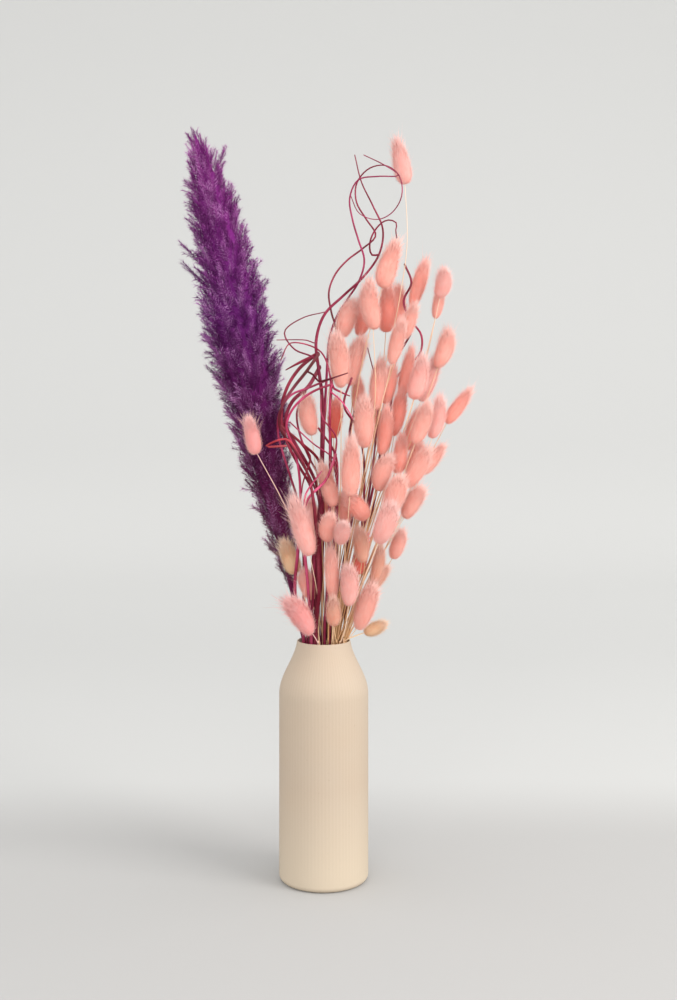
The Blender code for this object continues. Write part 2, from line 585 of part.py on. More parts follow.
def rings_along(points, radii, sides):
    """A ring of places square to the path at each point, turned no more than the path bends."""
    points = [Vector(p) for p in points]
    side = Vector((0.3, 1, 0.1))
    rings = []
    for i, point in enumerate(points):
        radius = float(radii[i])
        along = (points[min(i + 1, len(points) - 1)] - points[max(i - 1, 0)]).normalized()
        side = (side - along * side.dot(along)).normalized()
        other = along.cross(side)
        turns = [2 * math.pi * k / sides for k in range(sides)]
        rings.append([point + radius * (math.cos(t) * side + math.sin(t) * other) for t in turns])
    return rings


def make_strand(name, points, radii):
    """A three-sided stem, stick or twig."""
    return loft(name, rings_along(points, [r * CORNERS for r in radii], STICK_SIDES))


def make_head(name, base, tip, width):
    """An egg-shaped head whose tufts stand out in turn, each row half a step on from the last."""
    base, tip = Vector(base), Vector(tip)
    axis = (tip - base).normalized()
    inset = HEAD_INSET * width
    base, length = base - inset * axis, (tip - base).length + 2 * inset
    side = axis.orthogonal().normalized()
    other = axis.cross(side)
    sections = []
    for row, share in enumerate(HEAD_RINGS):
        full = 0.5 * width * math.sin(math.pi * (0.07 + 0.93 * share)) ** 0.5
        ring = []
        for k in range(HEAD_SIDES):
            out = (k + row) % 2 == 0
            turn = 2 * math.pi * (k + 0.5 * row) / HEAD_SIDES
            radius = full * (TUFT_OUT if out else TUFT_IN)
            rise = TUFT_RISE if out and row > 0 else 0
            ring.append(base + axis * (length * share + rise)
                        + radius * (math.cos(turn) * side + math.sin(turn) * other))
        sections.append(ring)
    return loft(name, sections, base + axis * length)


def make_spike(name, root, tip, radius):
    """A three-sided spike that grows from inside what carries it."""
    rings = rings_along([root, tip], [radius, SPIKE_POINT], 3)
    return loft(name, rings)


def make_plume(points, half):
    """The plume: its stem and slim core, with spikes that reach its feathery outline."""
    rng = random.Random(SEED)
    stem_count = len(points) - len(half)
    core = [max(PLUME_STEM_RADIUS, PLUME_CORE * h) for h in half]
    core[-1] = 1.0
    rings = rings_along(points, [PLUME_STEM_RADIUS] * stem_count + core, CORE_SIDES)
    things = [loft("plume core", rings)]
    axis = [Vector(p) for p in points[stem_count:]]
    run = [0.0]
    for a, b in zip(axis, axis[1:]):
        run.append(run[-1] + (b - a).length)
    weight = np.cumsum([0] + [(b - a) * (c + d + CROWN_CLOSER)
                              for a, b, c, d in zip(run, run[1:], half, half[1:])])
    for number in range(SPIKE_COUNT):
        at = float(np.interp((number + 0.5) / SPIKE_COUNT * weight[-1], weight, run))
        where = Vector([float(np.interp(at, run, [p[k] for p in axis])) for k in range(3)])
        ahead = Vector([float(np.interp(at + 12, run, [p[k] for p in axis])) for k in range(3)])
        along = (ahead - where).normalized() if at < run[-1] - 12 else (axis[-1] - axis[-2]).normalized()
        turn = number * GOLDEN_ANGLE
        across = (Vector((1, 0, 0)) - along * along.x).normalized()
        deep = along.cross(across)
        core_here = float(np.interp(at, run, core))
        climb = rng.uniform(*SPIKE_CLIMB)
        wide = float(np.interp(at + climb, run, half)) * rng.uniform(*SPIKE_REACH)
        way = math.cos(turn) * across + PLUME_FLATNESS * math.sin(turn) * deep
        top = Vector([float(np.interp(at + climb, run, [p[k] for p in axis])) for k in range(3)])
        if at + climb > run[-1]:
            top += along * (at + climb - run[-1]) * 0.1
        root = where + way * core_here * SPIKE_SUNK
        things.append(make_spike("spike", root, top + way * wide, SPIKE_ROOT))
    for across, up, start in STRAYS:
        tip = Vector(seen(across, up, PLUME_DEPTH + rng.uniform(-STRAY_DEPTH, STRAY_DEPTH)))
        heights = [p.z for p in axis]
        root = Vector([float(np.interp(start, heights, [p[k] for p in axis])) for k in range(3)])
        things.append(make_spike("stray", root, tip, SPIKE_ROOT))
    return things


def make_vase():
    """A turned shell: foot, straight body, S-shaped shoulder, short neck and rounded rim."""
    rim = outer_radius(VASE_HEIGHT)
    lip = (rim - MOUTH_RADIUS) / 2
    outside = [(0, 0), (BODY_RADIUS - FOOT_CORNER, 0)]
    for turn in (math.pi / 6, math.pi / 3, math.pi / 2):
        outside.append((BODY_RADIUS - FOOT_CORNER * (1 - math.sin(turn)),
                        FOOT_CORNER * (1 - math.cos(turn))))
    outside += [(outer_radius(z), z)
                for z in np.linspace(SHOULDER_START, VASE_HEIGHT - lip, SHOULDER_STEPS + 1)]
    for turn in (math.pi / 3, 2 * math.pi / 3, math.pi):
        outside.append((rim - lip + lip * math.cos(turn), VASE_HEIGHT - lip + lip * math.sin(turn)))
    inside = [(inner_radius(z), z) for z in np.linspace(INSIDE_END, SHOULDER_START, SHOULDER_STEPS + 1)]
    inside += [(BODY_RADIUS - WALL, FLOOR + 4), (BODY_RADIUS - WALL - 4, FLOOR), (0, FLOOR)]
    bm = bmesh.new()
    verts = [bm.verts.new((x * MM, 0, z * MM)) for x, z in outside + inside]
    edges = [bm.edges.new(pair) for pair in zip(verts, verts[1:])]
    bmesh.ops.spin(bm, geom=verts + edges, cent=(0, 0, 0), axis=(0, 0, 1), angle=2 * math.pi,
                   steps=VASE_SIDES)
    bmesh.ops.remove_doubles(bm, verts=bm.verts[:], dist=1e-6)
    return finish("vase", bm)


def fuse(name, things):
    """Joins things that are sunk into each other in one closed body."""
    first, rest = things[0], things[1:]
    if rest:
        group = bpy.data.collections.new("joined")
        for thing in rest:
            group.objects.link(thing)
        union = first.modifiers.new("Union", "BOOLEAN")
        union.operation = "UNION"
        union.operand_type = "COLLECTION"
        union.collection = group
        union.solver = "EXACT"
        bpy.context.view_layer.update()
        joined = first.evaluated_get(bpy.context.evaluated_depsgraph_get())
        mesh = bpy.data.meshes.new_from_object(joined)
        first.modifiers.clear()
        first.data = mesh
        for thing in rest:
            bpy.data.objects.remove(thing)
        bpy.data.collections.remove(group)
    first.name = name
    first.data.name = name
    return first


def paint(thing, colour):
    """Gives the object its own plain material and smooth shading."""
    material = bpy.data.materials.new(thing.name)
    material.use_nodes = True
    shader = material.node_tree.nodes["Principled BSDF"]
    shader.inputs["Base Color"].default_value = (*COLOURS[colour], 1)
    shader.inputs["Roughness"].default_value = ROUGHNESS
    shader.inputs["Metallic"].default_value = 0.0
    thing.data.materials.clear()
    thing.data.materials.append(material)
    thing.data.shade_smooth()
    thing.data.set_sharp_from_angle(angle=CREASE)


def main():
    """Clears the scene and builds the vase, the plume, the tails and the sticks."""
    for old in list(bpy.data.objects):
        bpy.data.objects.remove(old)
    paint(make_vase(), "vase")
    pieces = {}
    for kind, piece, points, radii, width in plan_all():
        things = pieces.setdefault(piece, [])
        if kind == "plume":
            things += make_plume(points, radii)
        elif kind == "tail":
            things.append(make_strand("stem", points[:-1], radii))
            things.append(make_head("head", points[-2], points[-1], width))
        else:
            things.append(make_strand("stick", points, radii))
    for piece, things in pieces.items():
        node = fuse(piece, things)
        if piece.startswith("bunny_tails_"):
            coral = piece.removeprefix("bunny_tails_") in CORAL_TAILS
            paint(node, "bunny_tail_coral" if coral else "bunny_tail")
        elif piece.startswith("curly_stick_"):
            crimson = piece.removeprefix("curly_stick_") in CRIMSON_STICKS
            paint(node, "stick_crimson" if crimson else "stick_pink")
        else:
            paint(node, "pampas")


main()
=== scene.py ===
"""The looks of a vase of dried flowers: ribbed clay, soft tails, curly sticks and a feathery plume.

Plans and meshes are in millimetres until a piece is shown, which is in metres. +Z is up, the viewer
looks along +Y, and the origin is the middle of the vase's foot.
"""

import functools
import math
import random

import bmesh
import bpy
import numpy as np
from bpy.props import FloatProperty, FloatVectorProperty, IntProperty, PointerProperty
from bpy.types import Operator, Panel, PropertyGroup
from mathutils import Matrix, Vector, noise


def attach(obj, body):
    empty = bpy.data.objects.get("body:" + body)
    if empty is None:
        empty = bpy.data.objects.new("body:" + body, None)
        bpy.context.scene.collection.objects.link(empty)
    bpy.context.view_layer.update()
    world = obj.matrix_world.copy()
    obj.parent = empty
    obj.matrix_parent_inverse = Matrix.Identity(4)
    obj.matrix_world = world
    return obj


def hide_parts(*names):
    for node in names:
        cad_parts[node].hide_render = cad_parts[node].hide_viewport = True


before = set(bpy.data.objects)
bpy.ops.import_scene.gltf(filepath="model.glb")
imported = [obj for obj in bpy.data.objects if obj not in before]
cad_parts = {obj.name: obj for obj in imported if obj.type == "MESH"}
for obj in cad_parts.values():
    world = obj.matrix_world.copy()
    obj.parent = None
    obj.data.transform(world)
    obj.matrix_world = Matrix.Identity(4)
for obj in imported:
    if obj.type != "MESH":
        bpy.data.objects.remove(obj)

bl_info = {
    "name": "Vase of dried flowers",
    "version": (1, 0, 0),
    "blender": (4, 5, 0),
    "location": "3D View > Sidebar > Dried flowers",
    "description": "Dresses a vase with bunny tail grass, curly sticks and a dyed plume",
    "category": "Add Mesh",
}

BODY = "root"
MM = 0.001
SEED = 11

# The places of flowers and sticks were read off the front view of the vase, in the plane of its axis,
# by a viewer this far away, this high and this far to the right.
VIEW_DISTANCE = 1343.0
VIEW_HEIGHT = 488.0
VIEW_ACROSS = 14.75

# Vase
VASE_HEIGHT = 238.0
BODY_RADIUS = 44.5
NECK_RADIUS = 26.4
MOUTH_RADIUS = 25.25
SHOULDER_START = 185.0
SHOULDER_END = 242.0
INSIDE_END = 233.0
WALL = 3.0
FLOOR = 6.0
FLOOR_ROUND = 4
FLOOR_BEVEL = 1.2
FOOT_CORNER = 6.0
SEAT_GAP = 0.3

# Bunny tail grass
STEM_RADIUS = 0.75
STEM_PIECE = 62.0
HEAD_INSET = 0.42
BUNCH_LEAN = 0.06
LEAN_FROM = 260.0
STEM_START = 0.2
STEM_SWELL = 0.13
STEM_KNOTS = 7

# Curly sticks
STICK_TIP = 0.45
STICK_TAPER = (0, 0.4, 1)
STICK_KNOTS = 6
# Sticks that are broad to the end, where they reach the tallest one: half their thickness there
THICK_TIPS = {"left_drop": 1.6, "left_sweep": 1.4, "thick_sweep": 1.8}

# Pampas plume
PLUME_DEPTH = 24.0
PLUME_DEPTH_RISE = 140
PLUME_FLATNESS = 0.75
PLUME_STEM_RADIUS = 2.2
STRAY_DEPTH = 6
GOLDEN_ANGLE = 2.399963

# Where stems stand: the level of the mouth, the room in the neck, and how far their feet spread
MOUTH_HEIGHT = VASE_HEIGHT - 2
NECK_ROOM = MOUTH_RADIUS - 2
MOUTH_MIDDLE = (6.0, 3.0)
MOUTH_FAN = 30.0
PAIR_GAP = 2.9
FOOT_SPREAD = 1.5
PAIR_START = 0.1
PAIR_DRAW = 0.25
SLOT_STEPS = 400
SLOT_SPARE = 0.25
SLOT_PUSH = 0.4
FIRST_KNEE = 46.0
JOIN_HEIGHT = 60.0
RIM_RINGS = ((VASE_HEIGHT - 1.6, 26.9), (VASE_HEIGHT - 7, 26.8), (VASE_HEIGHT - 15, 28.8),
             (VASE_HEIGHT - 22, 32.0))
RIM_PIECES = 20
RIM_SPARE = 0.6
NECK_DEPTH = 50

# How far strands of different pieces keep apart, how far a three-sided one's corners stand out,
# and how they are bent clear
CLEAR = 0.7
MIN_GAP = 0.2
CORNERS = 1.15
BEND_STEPS = 1000
NEAR_EVERY = 10
NEAR_SPARE = 4
EASE_OUT = 2.5
PUSH = 1.6
HOME_PULL = 0.05
SHAPE_PULL = 0.3
SHAPE_LEAST = 0.1
SAME_PLACE = 0.02

# Fine turning of the vase: rings up it, steps round each rib, where the ribs begin and end, and how far
# inside the outline a point still belongs to the outside
CORNER_RINGS = 7
BODY_RINGS = 16
SHOULDER_RINGS = 20
RIM_STEPS = 9
INSIDE_RINGS = 6
STEPS_A_RIB = 4
RIB_FOOT = 9.0
RIB_STOP = 3.0
RIB_FADE = 8.0
SKIN = 0.5

# A standard fluffy head: its size and form, its core's share of that, and how its hairs lean and grow
HEAD_LENGTH = 45.0
HEAD_WIDTH = 16.0
HEAD_FULL = 1.08
HEAD_LONGER = 3.0
HEAD_CORE = 0.84
HEAD_BLUNT = 0.8
HEAD_POINT = (0.75, 1.4)
HEAD_TAPER = (-0.16, 0.3)
HEAD_BEND = (0.0, 0.22)
HEAD_BEND_SHIFT = 0.1
HEAD_COVER = 0.07
HEAD_DROP = 0.6
CORE_TIP_SHARE = 0.1
HAIR_LEAN = ((0.0, 0.12, 0.4, 0.8, 1.0), (95, 46, 28, 19, 7))
HAIR_LENGTH = ((0.0, 0.2, 0.6, 0.85, 1.0), (2.4, 4.4, 6.0, 8.0, 10.5))
TIP_THICKER = 0.9
HAIR_STRAY = 12.0
HAIR_SWERVE = 0.14
HAIR_UNEVEN = (0.75, 1.15)
HAIR_SUNK = 0.6
HAIR_SHADES = (0.2, 1.5)
HEAD_KINDS = 7
LOCK_LONG = 0.16
# How long beside a close hair, how thick and how pale each kind of hair is
CLOSE_HAIR = (1.0, 0.17, 0.8)
FUZZ = (1.45, 0.1, 1.0)
AWN = (2.2, 0.09, 1.3)
# The long awns: their length, radius, lean, where on the head they stand, and how pale they are
LONG_AWNS = (10.0, 23.0)
LONG_AWN_RADIUS = 0.18
LONG_AWN_LEAN = (6, 48)
LONG_AWN_RISE = (0.1, 0.9)
LONG_AWN_PALE = 1.6
# A copy is turned by any angle in this span
ANY_TURN = (0, 6.3)

# The plume: tufts of fine hairs all over a core, and sprays of standard height, each of several tufts
AXIS_EASE = 12.0
CORE_SHARE = 0.74
CORE_EASE = 3.0
CORE_TIP = 0.5
CORE_SIDES = 16
TUFT_TALL = 16.0
TUFT_STALK = (0.22, 0.08)
TUFT_BARE = 0.05
TUFT_KINDS = 8
TUFT_SIZE = (0.75, 1.3)
TUFT_ROOT = 0.64
TUFT_AT_TIP = 0.3
TUFT_GROWTH = 0.045
TUFT_REACH = (0.84, 1.04)
TUFT_SLOPES = (0.15, 0.85)
TUFT_STRAY = 0.24
TUFT_ALONG = 0.6
TUFT_TONES = (0.1, 0.25, 0.4, 0.5, 0.6, 0.75, 1.0)
TUFT_HAIR_RADIUS = 0.16
TUFT_HAIR_LENGTH = (3.0, 6.5)
TUFT_HAIR_LEAN = (30, 78)
HUSK_EVERY = 8
HUSK_RADIUS = 0.5
TIP_CLOSER = 14
CLUMP_SIZE = 15.0
CLUMP_REACH = 0.2
# Painted light: tufts of a clump that stands further out get a lighter tone by so much
CLUMP_PAINTED_LIGHT = 0.9
SPRAY_TALL = 36.0
SPRAY_KINDS = 7
SPRAY_LEAN = (12, 34)
SPRAY_CLIMB = (24, 36)
SPRAY_ROOT = 0.6
SPRAY_REACH = (1.0, 1.16)
SPRAY_LAST = 0.97
SPRAY_SWERVE = (-0.5, 0.5)
SPRAY_TONES = (0.3, 1.0)
SPRAY_TUFT_PLACE = (0.2, 0.8)
SPRAY_TUFT_SWERVE = (-0.4, 0.4)
SPRAY_TUFT_SIZE = (0.8, 1.1)
PLUME_PARTS = 3
STRAY_FOOT = 0.4
STRAY_SLIM = 0.8
STRAY_TONE = 0.2

# Strands: steps of a curve from one point to the next, sides, mm from ring to ring, how far below the
# mouth a stem is held straight, and how a stem gets thinner and a stick is flattened and filled out
CURVE_STEPS = 12
STEM_SIDES = 5
UNDER_MOUTH = 10.0
STEM_STEP = 5.0
STEM_SLIM = 0.34
STICK_SIDES = 8
STICK_STEP = 4.0
STICK_FLAT = 0.8
STICK_FULL = 1.22

# Each tail's dye in turn: p pale pink, k strong pink, s salmon, c coral, d deep coral, e deepest coral,
# b beige, o orange straw
# The deepest coral, e, is partly painted shade: it darkens heads that sit in shade deep in the bunch
TAIL_DYES = "pcsdsdcspsssscscscspcpcpscscsssbsscbspscdcbesopbksoppsscpcsesk"
DYES = {
    "p": (234, 180, 172), "k": (233, 168, 165), "s": (234, 175, 162), "c": (236, 166, 152),
    "d": (226, 146, 132), "e": (226, 118, 104), "b": (218, 165, 144), "o": (220, 184, 149),
}
# Each stick's dye
STICK_DYES = {
    "tall": (160, 36, 76), "hairpin": (180, 54, 102), "ring": (176, 50, 98), "right": (182, 58, 96),
    "right_short": (152, 44, 78), "left_loop": (164, 40, 82), "left_hook": (200, 58, 102),
    "left_drop": (166, 32, 68), "left_sweep": (118, 18, 46), "thick_sweep": (160, 34, 74),
    "pink_arch": (220, 78, 126), "thin_arch": (190, 60, 108), "flat_loop": (196, 58, 72),
    "crimson_fork": (164, 28, 62), "ring_left": (176, 44, 88), "thin_cross": (184, 56, 100),
    "short_cross": (174, 34, 76), "small_hook": (190, 60, 102), "zigzag_low": (168, 44, 82),
    "zigzag_high": (174, 48, 88), "pink_front": (238, 98, 142), "pale_twig": (176, 100, 104),
}
# The sticks whose lower part has another dye
STICK_FEET = {"flat_loop": (138, 24, 50), "ring": (150, 40, 68)}
# Half the thickness that some sticks keep to their ends
LEAST_RADII = {
    "right": 1.1, "right_short": 1.1, "pink_arch": 1.3, "thin_arch": 1.1, "crimson_fork": 1.5,
    "ring_left": 1.1, "short_cross": 1.2, "zigzag_low": 1.2, "zigzag_high": 1.1, "pink_front": 1.3,
    "thin_cross": 0.8, "flat_loop": 1.2, "small_hook": 0.8,
}
# What the straw of the stems turns to towards the heads, by the dye of the heads
# Under the e heads this straw is darker too, partly painted shade
STEM_DYES = {
    "p": (244, 224, 208), "k": (240, 198, 202), "s": (240, 210, 184), "c": (232, 190, 160),
    "d": (214, 164, 134), "e": (206, 150, 120), "b": (230, 192, 156), "o": (236, 202, 154),
}
# The tails with long awns
LONG_AWNED = {34, 48, 49, 50, 51, 54, 61}

# How much lighter or darker than its dye a piece may be
HEAD_VARIES = 0.04
STEM_VARIES = 0.08
STICK_VARIES = 0.05

# Colours in the finishes, each as a display colour, and the levels in metres between which they come in
FOOT_CLAY = (202, 188, 166)
FOOT_CLAY_SHARE = 0.6
FOOT_CLAY_LEVELS = (0.1, 0.0)
FLECKS = ((0.0, (0, 0, 0)), (0.72, (0, 0, 0)), (0.78, (255, 255, 255)))
STRAW = ((0.25, (176, 120, 66)), (0.5, (212, 162, 104)), (0.75, (236, 198, 144)))
LOW_WOOD = (104, 18, 42)
LOW_WOOD_SHARE = 0.6
LOW_WOOD_LEVELS = (0.42, 0.26)
TIP_WOOD = (112, 66, 66)
TIP_WOOD_SHARE = 0.45
PLUME_DYES = ((0.0, (150, 46, 92)), (0.3, (144, 42, 112)), (0.6, (154, 54, 156)), (1.0, (196, 84, 180)))
PLUME_LEVELS = (0.28, 0.75)
# The painted highlight: the tips of the hairs of light tufts and the husks are blended to this lilac
PAINTED_HIGHLIGHT_PLUME = (230, 172, 230)
PAINTED_HIGHLIGHT_PLUME_SHARE = 0.62
# Linear colours that others are blended with or multiplied by
# The tops of the heads are blended to this: partly their own paler colour, partly painted light that lifts
# the shade among the crowded hairs there
PALE_CROWN_AND_PAINTED_LIGHT = (1.0, 0.72, 0.68, 1)
PALE_TIP = (1.0, 0.84, 0.82, 1)
DARK_WOOD = (0.42, 0.24, 0.3, 1)
LIGHT_WOOD = (1.0, 0.5, 0.62, 1)
LIGHT_WOOD_SHARE = 0.14
# Multiplies the plume where it is darker: in dark tufts and clumps, which is its own tone, and deep inside,
# which is painted shade
DARK_AND_SHADED_PLUME = (0.37, 0.15, 0.4, 1)
# Where along a head the crown comes in, and along a stick its foot dye ends and its tip begins
CROWN_REACH = (0.6, 1.05)
FOOT_DYE_END = (0.91, 0.88)
TIP_WOOD_START = (0.93, 1.0)
# How the dye comes in up a stem
DYE_RISE = 2.5

# The stage, in metres
FLOOR_REACH = 6.0
FLOOR_BACK = 2.0
SWEEP_RADIUS = 2.0
SWEEP_RINGS = 24
SWEEP_TOP = 6.0
FAR_FLOOR_BEHIND = (0.1, 0.36)
BEND_BEHIND = (1.0, 2.1)
# Painted light: where the floor bends up it is made lighter, to lift the shade there
BEND_PAINTED_LIGHT = (0.78, 0.78, 0.77, 1)
BEND_PAINTED_LIGHT_SHARE = 0.2
BACKDROP_LEVELS = (0.0, 0.35)
CLOUD_SHADE = (0.4, 0.4, 0.4, 1)
CLOUD_SHARE = 0.06
AIM = Vector((0, 0, 0.4))
SENSOR = 36
# Each light's side, place and colour
KEY_LIGHT = (1.8, (2.6, -1.6, 1.8), (1.0, 0.98, 0.95))
FRONT_LIGHT = (2.4, (-0.4, -3.8, 1.4), (1.0, 1.0, 1.0))
ROOM_LIGHT = (1, 1, 0.99, 1)

# Each bunny tail: across and up of its tip, across and up of its base, width, depth, how far the tip
# lies behind the base, and the places that its stem passes on the way down. Neighbours are paired.
TAILS = (
    ((73, 736), (83, 692), 17, -5, 0, ((81, 648), (79, 588))),
    ((101, 616), (87, 569), 14, 5, 3, ()),
    ((72, 635), (57, 589), 19, -25, -4, ()),
    ((64, 591), (63, 544), 17, 5, 4, ()),
    ((44, 595), (50, 547), 18, -30, -3, ()),
    ((41, 580), (36, 541), 16, 8, 4, ()),
    ((74, 590), (73, 553), 18, 22, 5, ()),
    ((91, 572), (79, 538), 14, -14, -3, ()),
    ((121, 607), (116, 579), 16, -5, -9, ()),
    ((117, 588), (110, 560), 11, 12, 5, ()),
    ((28, 575), (17, 540), 18, -15, -6, ()),
    ((13, 540), (18, 487), 19, -38, -5, ((17, 430), (17, 378))),
    ((39, 540), (24, 493), 18, -14, 2, ()),
    ((34, 498), (36, 458), 13, 5, 5, ()),
    ((78, 556), (67, 513), 14, -28, -4, ()),
    ((67, 510), (60, 473), 14, -5, 0, ()),
    ((57, 515), (51, 466), 15, -18, 2, ()),
    ((52, 483), (50, 438), 12, 20, 4, ()),
    ((126, 546), (114, 509), 17, 0, 4, ()),
    ((111, 518), (95, 476), 16, 8, 3, ()),
    ((87, 527), (78, 481), 13, 12, 2, ()),
    ((100, 520), (88, 478), 17, -12, -4, ()),
    ((146, 487), (122, 454), 13, -5, -2, ((114, 440), (108, 426))),
    ((117, 479), (109, 438), 15, -15, -3, ()),
    ((104, 473), (91, 433), 16, -28, -5, ()),
    ((90, 468), (81, 428), 15, 9, 3, ()),
    ((119, 431), (97, 404), 14, 14, 4, ()),
    ((96, 433), (85, 398), 15, 2, 2, ()),
    ((104, 426), (80, 390), 17, -15, -4, ()),
    ((97, 389), (80, 360), 17, -10, -4, ()),
    ((78, 345), (69, 318), 14, 0, -5, ()),
    ((62, 309), (47, 288), 13, -2, -3, ()),
    ((40, 478), (40, 429), 19, -30, -3, ()),
    ((28, 437), (25, 380), 18, -46, -4, ()),
    ((28, 379), (47, 357), 18, -26, -8, ()),
    ((35, 348), (40, 314), 14, -25, -3, ()),
    ((77, 400), (64, 363), 20, -30, -6, ()),
    ((68, 373), (55, 333), 20, -51, -5, ()),
    ((64, 421), (54, 387), 18, -22, -3, ()),
    ((64, 469), (59, 422), 14, -4, 0, ()),
    ((74, 483), (71, 438), 14, 6, 3, ()),
    ((78, 441), (74, 403), 14, -10, 0, ()),
    ((57, 330), (50, 293), 12, -15, -4, ()),
    ((28, 343), (27, 303), 13, -8, 3, ()),
    ((46, 292), (31, 247), 19, -16, -6, ()),
    ((60, 254), (40, 243), 13, 2, 2, ()),
    ((25, 310), (26, 271), 17, -37, -6, ()),
    ((9, 282), (11, 253), 13, -29, -3, ()),
    ((-35, 278), (-11, 243), 20, -35, -12, ()),
    ((-17, 308), (-10, 278), 15, -12, 0, ()),
    ((-39, 333), (-26, 301), 16, -12, 4, ()),
    ((-30, 378), (-12, 321), 19, -38, -6, ()),
    ((-13, 375), (-8, 347), 12, -14, 0, ()),
    ((6, 360), (2, 335), 16, -34, -13, ()),
    ((-1, 412), (11, 370), 15, -29, -3, ()),
    ((-2, 388), (6, 358), 14, 4, 2, ()),
    ((20, 353), (16, 334), 15, -44, -14, ()),
    ((12, 381), (19, 350), 14, -12, 2, ()),
    ((8, 331), (10, 280), 13, -24, -4, ()),
    ((11, 476), (11, 438), 14, -8, 2, ()),
    ((-18, 480), (-12, 442), 17, -20, -2, ()),
    ((-75, 458), (-68, 422), 14, -42, -4, ((-53, 394), (-44, 373), (-26, 343))),
)

